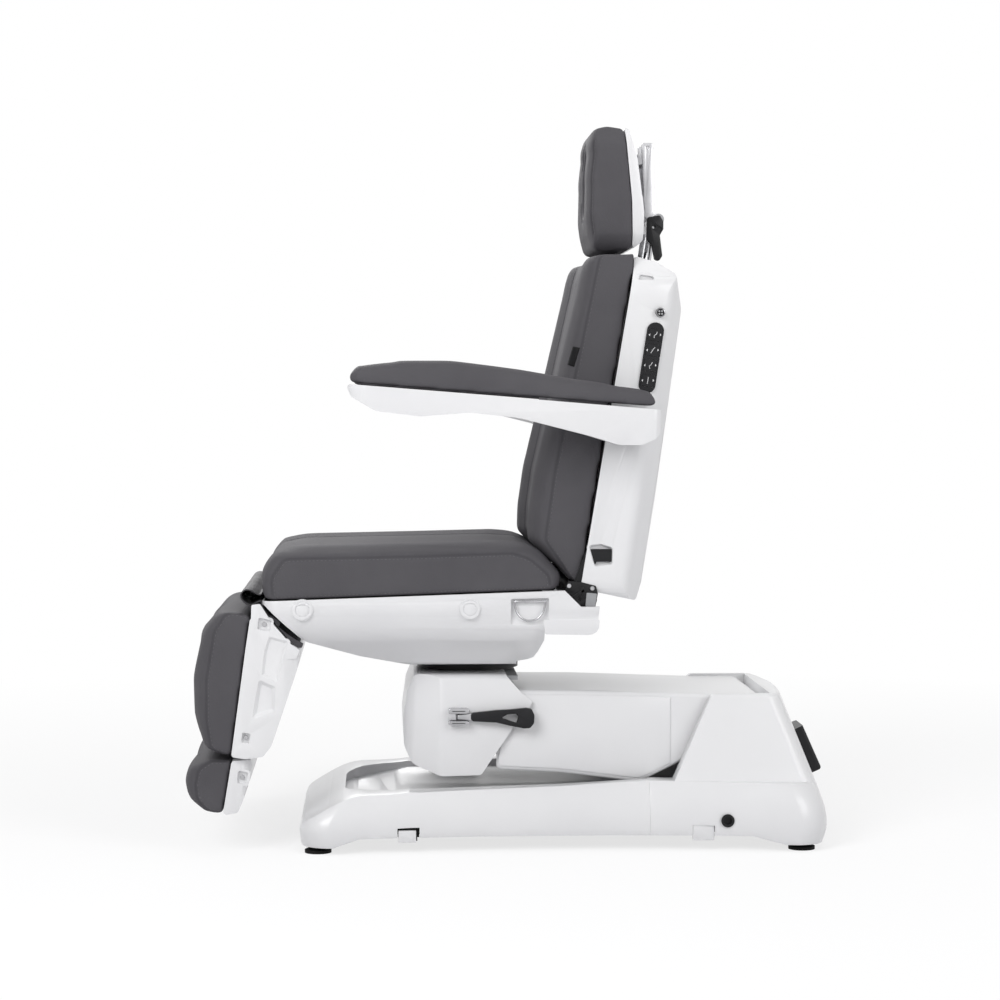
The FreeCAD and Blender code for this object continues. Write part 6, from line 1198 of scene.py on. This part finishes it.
bracketOutline = [(0.0890, 0.5023), (0.0947, 0.5200), (0.1190, 0.5180), (0.1470, 0.5105), (0.1510, 0.4964),
                  (0.1460, 0.4700),
                  (0.1156, 0.4700)]
hingeRib = [[(0.1150, 0.5080), (0.1230, 0.5090), (0.1300, 0.4890), (0.1250, 0.4860)],
            [(0.1010, 0.4900), (0.1060, 0.4870), (0.1270, 0.5010), (0.1240, 0.5050)]]
for label, side in (("Left", 1), ("Right", -1)):
    makePlate("hingePlate" + label, bracketOutline, 0.003, side * 0.2770, side * 0.2810, "blackPaint", "seat",
              windows=[[(0.1120, 0.4830), (0.1160, 0.4930), (0.1220, 0.4800)]], edge=0.0008)
    makePlate("hingeBlock" + label, [(0.1290, 0.4980), (0.1490, 0.4960), (0.1450, 0.4710), (0.1270, 0.4710)], 0.002,
              side * 0.2770, side * 0.2850, "greyPaint", "seat", edge=0.001)
    for index, corners in enumerate(hingeRib):
        makePlate("hingeRib" + str(index) + label, corners, 0.001, side * 0.2800, side * 0.2835, "blackPaint", "seat",
                  edge=0.0006)
    addScrews("hingeStuds" + label, "seat", [((side * 0.2810, 0.0960, 0.5110), (side, 0, 0)),
                                             ((side * 0.2810, 0.1400, 0.5060), (side, 0, 0))],
              **smallScrew)
for label, side in (("Left", 1), ("Right", -1)):
    # painted shade: a thin black sheet across the top of each front notch, above the pale block, stands in for the
    # shadow under the cover's edge
    makePlate("notchShadeSheet" + label, [(-0.2285, 0.0500), (-0.1875, 0.0500), (-0.1875, 0.0310),
                                    (-0.2285, 0.0310)], 0.0008,
              side * 0.2540, side * 0.2575, "blackRubber", "base", edge=0.0003)
    makePlate("notchBlock" + label, [(-0.2275, 0.0445), (-0.1935, 0.0445), (-0.1935, 0.0215),
                                     (-0.2275, 0.0215)], 0.0015,
              side * 0.2540, side * 0.2655, "paleShell", "base")
    makePlate("notchRear" + label, [(0.3355, 0.0500), (0.3765, 0.0500), (0.3765, 0.0215), (0.3355, 0.0215)], 0.0015,
              side * 0.2500, side * 0.2612, "paleShell", "base")
print("plates cut")


# D-rings bent from round wire
def bendRing(label, side):
    line = bpy.data.curves.new("dRing" + label, "CURVE")
    line.dimensions = "3D"
    line.bevel_depth = 0.0019
    line.bevel_resolution = 3
    path = [(-0.0070, 0.4830), (-0.0070, 0.4740), (-0.0045, 0.4640), (0.0020, 0.4540), (0.0110, 0.4480),
            (0.0210, 0.4462),
            (0.0310, 0.4480), (0.0400, 0.4540), (0.0465, 0.4640), (0.0490, 0.4740), (0.0490, 0.4830)]
    smooth, length = smoothLine(path, 44)
    spline = line.splines.new("POLY")
    spline.points.add(len(smooth) - 1)
    for point, (y, z) in zip(spline.points, smooth):
        point.co = (side * 0.2955, y, z, 1)
    spline.use_cyclic_u = True
    bent = bpy.data.objects.new("bent", line)
    scene.collection.objects.link(bent)
    bpy.context.view_layer.update()
    mesh = bpy.data.meshes.new_from_object(bent.evaluated_get(bpy.context.evaluated_depsgraph_get()))
    bpy.data.objects.remove(bent)
    mesh.name = "dRing" + label
    mesh.shade_smooth()
    piece = addPiece("dRing" + label, mesh)
    faceOutward(mesh)
    dress(piece, "polishedChrome", "ring_" + label.lower(), "d_ring_" + label.lower())


bendRing("Left", 1)
bendRing("Right", -1)
print("rings bent")


# Bare woven tag on the near bolster of the backrest
tag = {"corners": [(0.1097, 0.9646), (0.1219, 0.9622), (0.1112, 0.9258), (0.0991, 0.9297)], "at": 0.2,
       "across": 5, "along": 14, "lift": 0.0009}


def makeTag():
    tree = rayTree(padObjects["backPad"].data)
    eye = Vector(view["place"])
    a, b, c, d = (Vector((tag["at"], *corner)) for corner in tag["corners"])
    verts, faces = [], []
    for i in range(tag["along"] + 1):
        down = i / tag["along"]
        left, right = a.lerp(d, down), b.lerp(c, down)
        for k in range(tag["across"] + 1):
            goal = left.lerp(right, k / tag["across"])
            place, facing, face, far = tree.ray_cast(eye, (goal - eye).normalized())
            verts.append(place + facing * tag["lift"])
    wide = tag["across"] + 1
    for i in range(tag["along"]):
        for k in range(tag["across"]):
            first = i * wide + k
            faces.append((first, first + 1, first + wide + 1, first + wide))
    mesh = bpy.data.meshes.new("backTag")
    mesh.from_pydata(verts, [], faces)
    piece = addPiece("backTag", mesh)
    wall = piece.modifiers.new("wall", "SOLIDIFY")
    wall.thickness = 0.0011
    wall.offset = 0
    bake(piece)
    faceOutward(piece.data)
    piece.data.shade_smooth()
    dress(piece, "wovenTag", "back")


makeTag()
print("tag sewn on")

low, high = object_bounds()
